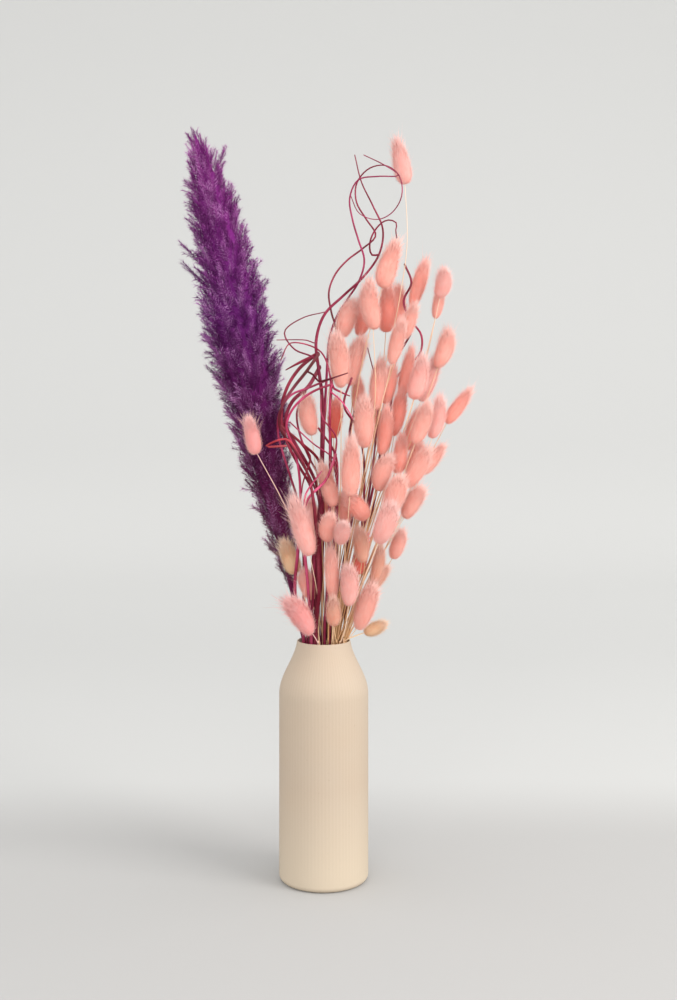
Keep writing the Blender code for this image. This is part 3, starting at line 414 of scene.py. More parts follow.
# Each curly stick: its thickness at the vase's mouth, then across, up and depth from the mouth to its
# tip, and its side twigs in the same form, each starting on the stick.
STICKS = (
    ("tall", 3.3, ((-7, 238, 2), (-5, 318, 0), (-2, 378, -2), (-1, 418, -3), (-1, 478, -4), (-4, 503, -4),
                   (-7, 528, -4), (-7, 541, -4), (-4, 553, -4), (2, 565, -5), (16, 579, -8),
                   (36, 597, -10), (48, 612, -9), (54, 620, -8), (59, 638, -4), (59, 650, 0),
                   (56, 660, 3), (46, 678, 6), (37, 698, 6), (31, 723, 4)),
     ((1.6, ((53, 618, -8), (47, 625, -14), (46, 633, -18), (48, 642, -20), (53, 650, -19),
             (59, 656, -14), (66, 658, -10), (71, 657, -8), (73, 654, -9), (72, 648, -12),
             (73, 640, -14))),
      (1.2, ((-7, 526, -4), (-9, 535, -9), (-14, 537, -13), (-21, 538, -15), (-34, 538, -16),
             (-47, 538, -16))))),
    ("hairpin", 2.4, ((-2, 238, 8), (-1, 318, 11), (-1, 378, 11), (0, 418, 10), (3, 478, 7), (5, 518, 4),
                      (4, 526, 3), (7, 540, 3), (11, 553, 4), (18, 570, 5), (28, 583, 6),
                      (36, 597, 6), (41, 613, 8), (39, 628, 10), (33, 643, 12), (28, 663, 12),
                      (26, 678, 10), (29, 690, 5), (36, 699, -1), (48, 701, -7), (62, 702, -12),
                      (74, 702, -15), (76, 705, -17), (72, 709, -18), (61, 713, -17),
                      (51, 717, -16), (40, 723, -15)), ()),
    ("ring", 2.3, ((2, 238, 14), (4, 318, 18), (6, 378, 21), (7, 428, 21), (7, 478, 20),
                   (10, 518, 18), (12, 552, 16), (7, 568, 15), (5, 581, 15), (6, 591, 15),
                   (11, 603, 16), (19, 613, 18), (28, 622, 20), (36, 628, 21), (44, 632, 21),
                   (50, 637, 20), (52, 643, 19), (50, 648, 19), (41, 661, 19), (35, 671, 20),
                   (31, 681, 20), (31, 689, 19), (36, 700, 15), (46, 710, 10), (57, 713, 5),
                   (66, 711, 0), (74, 705, -3), (78, 693, -4), (77, 678, -3), (69, 666, 0),
                   (56, 659, 9), (42, 660, 13), (31, 670, 13), (27, 682, 12)), ()),
    ("right", 2.2, ((12, 238, 10), (21, 278, 14), (38, 338, 22), (51, 398, 28), (61, 448, 30),
                    (67, 483, 30), (69, 494, 30), (76, 505, 30), (84, 514, 28), (93, 521, 24),
                    (97, 526, 22), (100, 536, 22), (97, 545, 22), (92, 552, 23), (84, 563, 25),
                    (80, 569, 26), (81, 580, 26), (85, 585, 24), (88, 596, 22), (85, 608, 20),
                    (81, 614, 18)), ()),
    ("right_short", 2.0, ((16, 238, 14), (28, 288, 20), (44, 348, 28), (57, 408, 34), (66, 458, 36),
                          (69, 498, 38), (72, 517, 38), (78, 527, 37), (85, 534, 36),
                          (87, 544, 36)), ()),
    ("left_loop", 2.4, ((-11, 238, -4), (-8, 318, -8), (-4, 398, -12), (-1, 458, -12), (-4, 503, -12),
                        (-8, 518, -12), (-15, 521, -14), (-24, 526, -16), (-34, 532, -18),
                        (-39, 537, -18), (-41, 542, -16), (-38, 549, -13), (-32, 554, -10),
                        (-24, 559, -8), (-14, 563, -8), (-8, 565, -9), (1, 566, -11)), ()),
    ("left_hook", 2.5, ((0, 238, -6), (4, 318, -11), (6, 398, -17), (6, 458, -19), (6, 493, -19),
                        (6, 516, -19), (-2, 526, -21), (-16, 531, -23), (-31, 535, -24),
                        (-41, 535, -25), (-47, 530, -26), (-45, 525, -27), (-43, 518, -27)),
     ((1.9, ((6, 493, -19), (13, 489, -22), (20, 485, -22), (26, 482, -20))),)),
    ("left_drop", 2.2, ((-13, 238, 2), (-11, 318, 0), (-9, 366, -1), (-13, 391, -3), (-22, 407, -4),
                        (-31, 424, -4), (-38, 440, -3), (-42, 460, -1), (-41, 478, 1), (-33, 498, 3),
                        (-24, 510, 3), (-14, 519, 2), (-6, 525, -1)),
     ((2.6, ((-10, 522, 1), (-19, 518, -6), (-29, 513, -8), (-38, 508, -9))),)),
    ("left_sweep", 2.0, ((-10, 238, -12), (-8, 318, -18), (-5, 374, -22), (-10, 394, -24), (-18, 409, -26),
                         (-27, 426, -28), (-37, 440, -32), (-43, 450, -35), (-45, 460, -36),
                         (-42, 471, -36), (-38, 479, -35), (-32, 488, -34), (-25, 497, -33),
                         (-17, 507, -32), (-10, 517, -31), (-5, 524, -31)),
     ((1.7, ((-16, 508, -32), (-11, 504, -36), (-8, 499, -38), (-3, 496, -40), (2, 498, -42),
             (9, 500, -50), (24, 505, -52))),)),
    ("thick_sweep", 2.6, ((-5, 238, 14), (-4, 318, 12), (-2, 376, 6), (-8, 398, 4), (-15, 412, 3),
                          (-23, 427, 2), (-33, 442, 2), (-38, 454, 4), (-37, 466, 6), (-31, 477, 7),
                          (-24, 485, 7), (-16, 491, 7), (-9, 499, 8), (-4, 511, 8)), ()),
    ("pink_arch", 3.0, ((-20, 238, -8), (-25, 268, -12), (-28, 288, -14), (-27, 308, -16),
                        (-25, 328, -17), (-24, 353, -18), (-23, 373, -20), (-23, 393, -24),
                        (-25, 413, -27), (-29, 428, -29), (-33, 440, -30), (-37, 453, -31),
                        (-34, 463, -32), (-27, 473, -32), (-19, 481, -32), (-9, 487, -31),
                        (1, 492, -30), (9, 494, -29)),
     ((1.3, ((1, 492, -30), (8, 486, -35), (16, 479, -36), (23, 470, -36), (29, 459, -34))),)),
    ("thin_arch", 2.3, ((-17, 238, 2), (-20, 278, 2), (-20, 318, 0), (-24, 368, -6), (-37, 413, -14),
                        (-44, 435, -17), (-46, 448, -19), (-46, 458, -21), (-44, 466, -23),
                        (-40, 476, -24), (-34, 482, -24), (-25, 487, -24), (-16, 490, -23),
                        (-4, 494, -22), (6, 499, -20)), ()),
    ("flat_loop", 3.4, ((-8, 238, -17), (-6, 298, -22), (-7, 358, -26), (-14, 403, -30),
                        (-27, 428, -36), (-34, 438, -40), (-44, 439, -43), (-53, 436, -45),
                        (-58, 431, -47), (-53, 427, -49), (-45, 428, -49), (-38, 432, -48)), ()),
    ("crimson_fork", 3.6, ((-13, 238, 9), (-5, 298, 6), (-2, 368, -2), (-5, 413, -8), (-10, 424, -10),
                           (-16, 430, -12), (-22, 434, -13), (-32, 444, -15), (-38, 448, -15),
                           (-44, 453, -15)),
     ((2.0, ((-16, 430, -12), (-15, 421, -20), (-17, 410, -26), (-21, 399, -29), (-22, 385, -31))),)),
    ("ring_left", 2.3, ((-14, 238, -9), (-11, 298, -13), (-5, 368, -16), (-1, 390, -16), (-6, 404, -14),
                        (-13, 418, -12), (-20, 434, -10), (-25, 448, -9), (-27, 460, -9),
                        (-26, 470, -9), (-24, 478, -9), (-18, 487, -10)), ()),
    ("thin_cross", 2.0, ((4, 238, 4), (8, 298, 0), (12, 368, -2), (13, 400, -6), (9, 421, -20),
                         (-6, 431, -29), (-21, 443, -34), (-28, 451, -35), (-34, 456, -35)), ()),
    ("short_cross", 2.5, ((3, 238, 18), (7, 308, 16), (10, 368, 8), (12, 408, 0), (9, 425, -3),
                          (3, 432, -4), (-2, 441, -5), (-7, 450, -6)), ()),
    ("small_hook", 2.0, ((7, 238, -4), (12, 308, -4), (16, 383, -14), (14, 403, -22), (12, 421, -26),
                         (14, 433, -28), (12, 449, -28), (4, 457, -26), (-5, 465, -24),
                         (-8, 474, -22), (-3, 483, -20)), ()),
    ("zigzag_low", 2.5, ((9, 238, 8), (19, 308, 14), (32, 378, 6), (33, 413, -4), (30, 438, -10),
                         (23, 444, -12), (20, 451, -13), (26, 460, -13), (31, 467, -13)),
     ()),
    ("zigzag_high", 2.4, ((13, 238, 3), (34, 308, 14), (40, 378, 6), (40, 418, -2), (36, 443, -10),
                          (30, 456, -17), (25, 463, -19), (20, 470, -20), (22, 479, -20),
                          (25, 488, -20), (28, 500, -20)),
     ()),
    ("pink_front", 2.6, ((-12, 238, -15), (-17, 298, -19), (-21, 348, -20), (-17, 378, -26),
                         (-11, 385, -29), (-2, 394, -31), (10, 410, -30), (12, 424, -28)),
     ((1.6, ((-19, 363, -23), (-20, 378, -32), (-15, 390, -38), (-8, 399, -41), (-2, 407, -42))),)),
    ("pale_twig", 2.2, ((20, 238, 6), (30, 308, 8), (45, 398, 6), (52, 458, 8), (53, 498, 10),
                        (51, 515, 4), (44, 530, -2)), ()),
)

# The plume's outline: across and up of its axis, and half its width there
PLUME = (
    (-32, 288, 5), (-37, 318, 10), (-44, 358, 17), (-53, 398, 22), (-62, 438, 27), (-70, 478, 31),
    (-79, 518, 36), (-85, 548, 36), (-91, 578, 33), (-94, 598, 32), (-100, 628, 27), (-107, 653, 27),
    (-112, 678, 23), (-117, 698, 19), (-122, 718, 12), (-129, 744, 3),
)
PLUME_MOUTH = (-19.5, 5.0)
# Stray branches: across and up of the tip, and how high on the axis each one starts
STRAYS = (
    (-138, 748, 715), (-97, 735, 690), (-83, 684, 645), (-149, 639, 592), (-146, 618, 572),
    (-126, 573, 520), (-121, 515, 470), (-54, 601, 555), (-59, 338, 310), (-47, 560, 520),
)


def seen(across, up, depth):
    """The real place of what the viewer sees across and up in the plane of the vase's axis."""
    spread = 1 + depth / VIEW_DISTANCE
    return np.array((
        VIEW_ACROSS + (across - VIEW_ACROSS) * spread,
        depth,
        VIEW_HEIGHT + (up - VIEW_HEIGHT) * spread,
    ))


def curve_through(points, count):
    """Evenly spaced points on a smooth curve through the given ones."""
    points = np.array(points, float)
    ends = np.vstack((2 * points[0] - points[1], points, 2 * points[-1] - points[-2]))
    fine = []
    for a, b, c, d in zip(ends, ends[1:], ends[2:], ends[3:]):
        for t in np.linspace(0, 1, CURVE_STEPS, endpoint=False):
            fine.append(0.5 * (2 * b + (c - a) * t + (2 * a - 5 * b + 4 * c - d) * t ** 2
                               + (3 * b - a - 3 * c + d) * t ** 3))
    fine = np.array(fine + [points[-1]])
    run = np.concatenate(([0], np.cumsum(np.linalg.norm(np.diff(fine, axis=0), axis=1))))
    even = np.linspace(0, run[-1], count)
    return np.array([np.interp(even, run, fine[:, axis]) for axis in range(3)]).T


def drawn_in(height, end, wide, narrow):
    """A radius at a height: wide up to the shoulder, then a smooth S that gets narrow by its end."""
    t = min(max((height - SHOULDER_START) / (end - SHOULDER_START), 0), 1)
    return narrow + (wide - narrow) * 0.5 * (1 + math.cos(math.pi * t))


def outer_radius(height):
    """The vase's outer radius above its foot corner."""
    return drawn_in(height, SHOULDER_END, BODY_RADIUS, NECK_RADIUS)


def inner_radius(height):
    """The vase's inner radius above its floor."""
    return drawn_in(height, INSIDE_END, BODY_RADIUS - WALL, MOUTH_RADIUS)


class Tangle:
    """Round strands that are bent until none touches a strand of another piece."""

    def __init__(self):
        self.places = []
        self.give = []
        self.pieces = []
        self.triples = []
        self.heads = []

    def add(self, owner, points, radii, give, root=None):
        """Adds a strand, on from the point numbered root if given, and returns its points' numbers."""
        first = len(self.places)
        numbers = list(range(first, first + len(points)))
        self.places += [tuple(p) for p in points]
        self.give += [give] * len(points)
        if root is not None:
            numbers = [root] + numbers
        for a, b, radius in zip(numbers, numbers[1:], radii):
            self.pieces.append((a, b, radius, owner))
        self.triples += list(zip(numbers, numbers[1:], numbers[2:]))
        return numbers

    def settle(self):
        """Pushes strands apart that touch, keeping each one's shape as far as that allows."""
        place = np.array(self.places, float)
        home = place.copy()
        give = np.array(self.give, float)[:, None]
        a, b = np.array([p[:2] for p in self.pieces]).T
        radius = np.array([p[2] for p in self.pieces])
        owner = np.array([p[3] for p in self.pieces])
        before, middle, after = np.array(self.triples).T
        shape = place[middle] - (place[before] + place[after]) / 2
        base, tip = np.array(self.heads).T
        length = np.linalg.norm(place[tip] - place[base], axis=1)[:, None]
        for step in range(BEND_STEPS):
            if step % NEAR_EVERY == 0:
                one, two = self.near(place, a, b, radius, owner)
            worst = self.push(place, give, a, b, radius, one, two)
            if worst < CLEAR / 4 and step > BEND_STEPS / 2:
                break
            ease = max(0.0, 1 - EASE_OUT * step / BEND_STEPS)
            bent = shape + (place[before] + place[after]) / 2 - place[middle]
            np.add.at(place, middle, SHAPE_PULL * (SHAPE_LEAST + ease) * bent * give[middle])
            place[:, 0::2] += HOME_PULL * ease * (home - place)[:, 0::2] * give
            along = place[tip] - place[base]
            place[tip] = place[base] + along * length / np.linalg.norm(along, axis=1)[:, None]
            self.keep_in_vase(place, give)
        return place, worst

    def near(self, place, a, b, radius, owner):
        """Pairs of pieces of different owners that are close enough to touch soon."""
        centre = (place[a] + place[b]) / 2
        reach = np.linalg.norm(place[a] - place[b], axis=1) / 2 + radius + NEAR_SPARE
        pairs = []
        for i in range(len(a) - 1):
            gap = np.linalg.norm(centre[i + 1:] - centre[i], axis=1)
            close = (gap < reach[i + 1:] + reach[i]) & (owner[i + 1:] != owner[i])
            pairs += [(i, i + 1 + j) for j in np.nonzero(close)[0]]
        return np.array(pairs).T

    def push(self, place, give, a, b, radius, one, two):
        """Moves apart each pair of pieces that is too close, and returns by how much the worst is."""
        p, q = place[a[one]], place[a[two]]
        u, v, w = place[b[one]] - p, place[b[two]] - q, p - q
        uu, vv, uv = (u * u).sum(1), (v * v).sum(1), (u * v).sum(1)
        uw, vw = (u * w).sum(1), (v * w).sum(1)
        s = np.clip((uv * vw - uw * vv) / np.maximum(uu * vv - uv * uv, 1e-6), 0, 1)
        t = np.clip((uv * s + vw) / vv, 0, 1)
        s = np.clip((uv * t - uw) / uu, 0, 1)
        apart = w + u * s[:, None] - v * t[:, None]
        gap = np.linalg.norm(apart, axis=1)
        short = radius[one] + radius[two] + CLEAR - gap
        hit = np.nonzero(short > 0)[0]
        if len(hit) == 0:
            return 0.0
        one, two, s, t = one[hit], two[hit], s[hit, None], t[hit, None]
        way = np.where(gap[hit, None] > SAME_PLACE, apart[hit] / np.maximum(gap[hit, None], 1e-6),
                       (0, 1, 0))
        shove = 0.5 * way * short[hit, None]
        moved = np.zeros_like(place)
        times = np.zeros((len(place), 1))
        for number, share in ((a[one], 1 - s), (b[one], s), (a[two], t - 1), (b[two], -t)):
            np.add.at(moved, number, share * shove)
            np.add.at(times, number, abs(share))
        place += PUSH * moved / np.maximum(times, 1) * give
        return short.max()

    def keep_in_vase(self, place, give):
        """Holds what is below the rim inside the neck, and what is lower down inside the body."""
        low = (place[:, 2] < VASE_HEIGHT) & (give[:, 0] > 0)
        room = np.where(place[:, 2] > MOUTH_HEIGHT - NECK_DEPTH, NECK_ROOM,
                        BODY_RADIUS - WALL - FOOT_CORNER)
        away = np.hypot(place[:, 0], place[:, 1])
        over = low & (away > room)
        place[over, :2] *= (room[over] / away[over])[:, None]


def foot_of(mouth, height=FLOOR + SEAT_GAP):
    """Where a stem that passes the mouth there stands on the vase's floor, or is at another height."""
    spread = np.interp(height, (FLOOR, MOUTH_HEIGHT), (FOOT_SPREAD, 1))
    return np.array((spread * mouth[0], spread * mouth[1], height))


def lean_back(row):
    """How deep a tail's base lies: as read, with the whole bunch leaning back a little."""
    return row[3] + BUNCH_LEAN * max(0, row[1][1] - LEAN_FROM)


def slot_of(row):
    """Where a tail's stem would pass the vase's mouth by the way that it leans."""
    lean = np.array((row[1][0] - MOUTH_MIDDLE[0], lean_back(row), row[1][1] - MOUTH_HEIGHT))
    return np.array(MOUTH_MIDDLE) + MOUTH_FAN * (lean / np.linalg.norm(lean))[:2]


def spread_slots():
    """Where every tail, every stick and the plume pass the mouth, moved until each has room."""
    slots = np.array([slot_of(row) for row in TAILS] + [seen(*stick[2][0])[:2] for stick in STICKS]
                     + [PLUME_MOUTH])
    radii = np.array([STEM_RADIUS] * len(TAILS) + [stick[1] / 2 for stick in STICKS]
                     + [PLUME_STEM_RADIUS]) * CORNERS
    first, second = slice(0, len(TAILS), 2), slice(1, len(TAILS), 2)
    slots[second] = slots[first] + PAIR_START * (slots[second] - slots[first])
    for step in range(SLOT_STEPS):
        apart = slots[:, None] - slots
        gap = np.linalg.norm(apart, axis=2) + 1e3 * np.eye(len(slots))
        short = np.maximum(0, radii[:, None] + radii + CLEAR + SLOT_SPARE - gap)
        slots[:-1] += SLOT_PUSH * (apart / gap[:, :, None] * short[:, :, None]).sum(axis=1)[:-1]
        beside = slots[second] - slots[first]
        far = np.linalg.norm(beside, axis=1)[:, None]
        draw = PAIR_DRAW * beside * np.maximum(0, far - PAIR_GAP) / far
        slots[first] += draw
        slots[second] -= draw
        away = np.linalg.norm(slots, axis=1)
        slots *= np.minimum(1, (NECK_ROOM + STEM_RADIUS - radii) / away)[:, None]
    return np.column_stack((slots, np.full(len(slots), MOUTH_HEIGHT)))


def plan_tail(row, mouth):
    """A tail's points from the vase's mouth up its stem, then the two ends of its head's core."""
    (tip_x, tip_z), (base_x, base_z), width, depth, lean, passed = row
    depth = lean_back(row)
    base = seen(base_x, base_z, depth)
    tip = seen(tip_x, tip_z, depth + lean)
    axis = (tip - base) / np.linalg.norm(tip - base)
    rise = base - mouth
    length = np.linalg.norm(rise)
    if passed:
        share = depth / (base_z - VASE_HEIGHT)
        route = [mouth] + [seen(x, z, share * (z - VASE_HEIGHT)) for x, z in passed[::-1]] + [base]
    else:
        start = mouth + STEM_START * rise + (0, 0, STEM_SWELL * length)
        end = base - axis * length / 3
        route = [(1 - t) ** 3 * mouth + 3 * t * (1 - t) ** 2 * start + 3 * t * t * (1 - t) * end
                 + t ** 3 * base for t in np.linspace(0, 1, STEM_KNOTS)]
    stem = curve_through(route, max(3, 1 + round(length / STEM_PIECE)))
    inset = HEAD_INSET * width
    return np.vstack((stem[:-1], base + inset * axis, tip - inset * axis))


def plan_stick(route, thick, tip=STICK_TIP):
    """The places and radii of a stick or a side twig, along a smooth curve."""
    points = curve_through([seen(*p) for p in route], max(STICK_KNOTS, len(route)))
    radii = np.interp(np.linspace(0, 1, len(points)), STICK_TAPER, (thick / 2, thick / 2, tip))
    return points, radii


def plan_plume():
    """The plume's axis, with its half width at each place."""
    places = []
    for across, up, half in PLUME:
        depth = PLUME_DEPTH * min(1, (up - VASE_HEIGHT) / PLUME_DEPTH_RISE)
        places.append(seen(across, up, depth))
    return places, [half for across, up, half in PLUME]


def plan_rim(tangle, owner):
    """Stands rings of strand in the vase's rim and neck, which nothing else may touch."""
    for height, radius in RIM_RINGS:
        ring = [(radius * math.cos(turn), radius * math.sin(turn), height)
                for turn in np.linspace(0, 2 * math.pi, RIM_PIECES + 1)]
        tangle.add(owner, ring, [WALL / 2 + RIM_SPARE] * RIM_PIECES, 0.0)


@functools.lru_cache(maxsize=1)
def plan_all():
    """Plans every strand, bends them clear, and returns them: (kind, piece, points, radii, width)."""
    tangle = Tangle()
    strands = []
    plan_rim(tangle, "vase")
    slots = spread_slots()
    axis, half = plan_plume()
    points = [foot_of(slots[-1]), slots[-1]] + axis
    radii = [PLUME_STEM_RADIUS] * 2 + [0.5 * (1 + PLUME_FLATNESS) * h for h in half]
    numbers = tangle.add("pampas_grass", points, radii, 0.0)
    strands.append(("plume", "pampas_grass", numbers, half, 0))
    for index, row in enumerate(TAILS):
        piece = f"bunny_tails_{index // 2 + 1:02d}"
        mouth = slots[index]
        if index % 2 == 0:
            root = None
            low = [foot_of(mouth), foot_of(mouth, FIRST_KNEE)]
        else:
            low = [foot_of(mouth, JOIN_HEIGHT)]
        points = np.vstack((low, plan_tail(row, mouth)))
        radii = [STEM_RADIUS * CORNERS] * (len(points) - 2 + index % 2) + [row[2] / 2]
        numbers = tangle.add(piece, points, radii, 1.0, root)
        root = numbers[1]
        tangle.heads.append(numbers[-2:])
        strands.append(("tail", piece, numbers, [STEM_RADIUS] * (len(numbers) - 1), row[2]))
    for (name, thick, route, twigs), mouth in zip(STICKS, slots[len(TAILS):]):
        piece = f"curly_stick_{name}"
        points, radii = plan_stick(route, thick, THICK_TIPS.get(name, STICK_TIP))
        points[0] = mouth
        points = np.vstack((foot_of(mouth), points))
        radii = np.insert(radii, 0, radii[0])
        numbers = tangle.add(piece, points, radii[:-1] * CORNERS, 1.0)
        strands.append(("stick", piece, numbers, radii, 0))
        for thick, route in twigs:
            twig, radii = plan_stick(route, thick)
            root = numbers[int(np.argmin(np.linalg.norm(points - twig[0], axis=1)))]
            numbers_out = tangle.add(piece, twig[1:], radii[:-1] * CORNERS, 1.0, root)
            strands.append(("stick", piece, numbers_out, radii, 0))
    places, worst = tangle.settle()
    if worst > CLEAR - MIN_GAP:
        raise RuntimeError(f"strands are {CLEAR - worst:.2f} mm apart")
    return [(kind, piece, places[numbers], radii, width)
            for kind, piece, numbers, radii, width in strands]


class Value:
    """A shader socket that takes part in sums, each of which adds its Math node."""

    def __init__(self, finish, socket):
        self.finish = finish
        self.socket = socket

    def maths(self, operation, first, second=None, clamp=False):
        """A Math node's result."""
        return self.finish.add("ShaderNodeMath", {"operation": operation, "use_clamp": clamp},
                               {0: first, 1: second})

    def __add__(self, other):
        return self.maths("ADD", self, other)

    def __radd__(self, other):
        return self.maths("ADD", other, self)

    def __sub__(self, other):
        return self.maths("SUBTRACT", self, other)

    def __rsub__(self, other):
        return self.maths("SUBTRACT", other, self)

    def __mul__(self, other):
        return self.maths("MULTIPLY", self, other)

    def __rmul__(self, other):
        return self.maths("MULTIPLY", other, self)

    def __pow__(self, other):
        return self.maths("POWER", self, other)

    def clamped(self):
        """The same number, held between 0 and 1."""
        return self.maths("ADD", self, 0.0, clamp=True)


class Finish:
    """A procedural material: its Principled shader, and one way to add any other node."""

    def __init__(self, name, **constants):
        self.material = bpy.data.materials.new(name)
        self.material.use_nodes = True
        self.tree = self.material.node_tree
        self.shader = self.tree.nodes["Principled BSDF"]
        for socket, number in constants.items():
            self.shader.inputs[socket.replace("_", " ")].default_value = number

    def add(self, kind, settings=None, inputs=None, output=0):
        """A new node of a kind, its settings set first, then its inputs: numbers, colours or links."""
        node = self.tree.nodes.new(kind)
        for name, setting in (settings or {}).items():
            if name == "stops":
                while len(node.color_ramp.elements) < len(setting):
                    node.color_ramp.elements.new(0.5)
                for stop, (place, shade) in zip(node.color_ramp.elements, setting):
                    stop.position = place
                    stop.color = colour(*shade)
            else:
                setattr(node, name, setting)
        for key, value in (inputs or {}).items():
            self.feed(node.inputs[key], value)
        return Value(self, node.outputs[output])

    def feed(self, socket, value):
        """Links a value to a socket, or sets a number or colour on it."""
        if isinstance(value, Value):
            self.tree.links.new(value.socket, socket)
        elif value is not None:
            socket.default_value = value

    def show(self, socket, value):
        """Feeds the shader's own socket."""
        self.feed(self.shader.inputs[socket], value)

    def place(self):
        """Where a point is on the piece, in metres."""
        return self.add("ShaderNodeTexCoord", output="Object")

    def part(self, place, axis):
        """One of a place's three numbers."""
        return self.add("ShaderNodeSeparateXYZ", inputs={0: place}, output=axis)

    def span(self, value, ends, way="LINEAR"):
        """How far a number is from the first end to the second, held between 0 and 1."""
        return self.add("ShaderNodeMapRange", {"interpolation_type": way},
                        {0: value, 1: ends[0], 2: ends[1]})

    def stored(self, name, output="Fac"):
        """What the mesh stores at its points under a name."""
        return self.add("ShaderNodeAttribute", {"attribute_name": name}, output=output)

    def noise(self, where, scale, detail=2.0, rough=0.5):
        """Smooth noise with about so many spots a metre."""
        return self.add("ShaderNodeTexNoise", inputs={
            "Vector": where, "Scale": scale, "Detail": detail, "Roughness": rough}, output="Fac")

    def blend(self, share, first, second, way="MIX"):
        """Two colours blended by a share."""
        return self.add("ShaderNodeMix", {"data_type": "RGBA", "blend_type": way},
                        {0: share, 6: first, 7: second}, output=2)

    def ramp(self, value, *stops):
        """A colour that follows a number, through display colours."""
        return self.add("ShaderNodeValToRGB", {"stops": stops}, {0: value})

    def bump(self, height, distance, strength=1.0):
        """A relief of so many metres."""
        self.show("Normal", self.add("ShaderNodeBump", inputs={
            "Height": height, "Distance": distance, "Strength": strength}))


def colour(red, green, blue):
    """A display colour of 0 to 255 as the linear one that shaders use."""
    parts = [c / 255 for c in (red, green, blue)]
    return (*[c / 12.92 if c < 0.04045 else ((c + 0.055) / 1.055) ** 2.4 for c in parts], 1.0)


def shade_of(setting):
    """The colour of a look as sockets take it."""
    return (*setting, 1.0)


def vary(rng, shade, amount):
    """A linear colour, a little lighter or darker than a display colour."""
    much = 1 + rng.uniform(-amount, amount)
    return tuple(min(1.0, c * much) for c in colour(*shade)[:3]) + (1.0,)


def modelled(bm, name):
    """The mesh of what has been modelled."""
    mesh = bpy.data.meshes.new(name)
    bm.to_mesh(mesh)
    bm.free()
    return mesh


class Gather:
    """Many copies of small shapes, gathered in one mesh with numbers stored at their points."""

    def __init__(self):
        self.bm = bmesh.new()

    def add(self, shape, matrix, **stored):
        """Adds a copy of a mesh where the matrix puts it."""
        copy = shape.copy()
        copy.transform(matrix)
        count = len(copy.vertices)
        for name, value in stored.items():
            kind, key = ("FLOAT", "value") if isinstance(value, float) else ("FLOAT_COLOR", "color")
            layer = copy.attributes.get(name) or copy.attributes.new(name, kind, "POINT")
            layer.data.foreach_set(key, np.tile(np.array(value, np.float32), count))
        self.bm.from_mesh(copy)
        bpy.data.meshes.remove(copy)

    def mesh(self, name):
        """The gathered mesh."""
        return modelled(self.bm, name)


def show(name, mesh, nodes, finishes):
    """Makes a smooth piece in metres of a mesh in mm. It stands for CAD nodes and rides with them."""
    mesh.transform(Matrix.Scale(MM, 4))
    mesh.shade_smooth()
    mesh.materials.clear()
    for finish in finishes:
        mesh.materials.append(finish.material)
    piece = bpy.data.objects.new(name, mesh)
    bpy.context.scene.collection.objects.link(piece)
    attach(piece, BODY)
    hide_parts(*nodes)


def stand(root, way, across, tall, roll=0.0):
    """The matrix that stands a shape with its foot at root and its height along way."""
    turn = Vector(way).to_track_quat("Z", "Y").to_matrix().to_4x4()
    size = Matrix.Diagonal((across, across, tall, 1))
    return Matrix.Translation(Vector(root)) @ turn @ Matrix.Rotation(roll, 4, "Z") @ size


def loft(points, radii, sides, flat=1.0, pointed=False):
    """A closed round or flattened skin along a path, a face extruded from ring to ring."""
    bm = bmesh.new()
    along_layer = bm.verts.layers.float.new("along")
    grain_layer = bm.verts.layers.float_vector.new("grain")
    points = [Vector(p) for p in points]
    side = Vector((0.3, 1, 0.1))
    run = 0.0
    face = None
    for i, point in enumerate(points):
        way = (points[min(i + 1, len(points) - 1)] - points[max(i - 1, 0)]).normalized()
        side = (side - way * side.dot(way)).normalized()
        other = way.cross(side)
        run += (point - points[max(i - 1, 0)]).length
        turns = [2 * math.pi * k / sides for k in range(sides)]
        ring = [point + float(radii[i]) * (flat * math.cos(t) * side + math.sin(t) * other)
                for t in turns]
        if face is None:
            face = first = bm.faces.new([bm.verts.new(p) for p in ring])
        else:
            grown = bmesh.ops.extrude_face_region(bm, geom=[face])["geom"]
            if face is not first:
                bm.faces.remove(face)
            face = next(f for f in grown if isinstance(f, bmesh.types.BMFace))
        for vert, place, turn in zip(face.verts, ring, turns):
            vert.co = place
            vert[along_layer] = i / (len(points) - 1)
            vert[grain_layer] = (math.cos(turn), math.sin(turn), run)
    if pointed:
        tip = bmesh.ops.poke(bm, faces=[face])["verts"][0]
        tip.co += way * float(radii[-1])
        tip[along_layer] = 1.0
        tip[grain_layer] = (0, 0, run)
    bmesh.ops.recalc_face_normals(bm, faces=bm.faces[:])
    return modelled(bm, "strand")


def hair():
    """A three-sided hair of unit height and radius, its tip marked."""
    bm = bmesh.new()
    bmesh.ops.create_cone(bm, cap_ends=True, segments=3, radius1=1, radius2=0, depth=1,
                          matrix=Matrix.Translation((0, 0, 0.5)))
    tip = bm.verts.layers.float.new("tip")
    for vert in bm.verts:
        vert[tip] = vert.co.z
    return modelled(bm, "hair")


# Vase


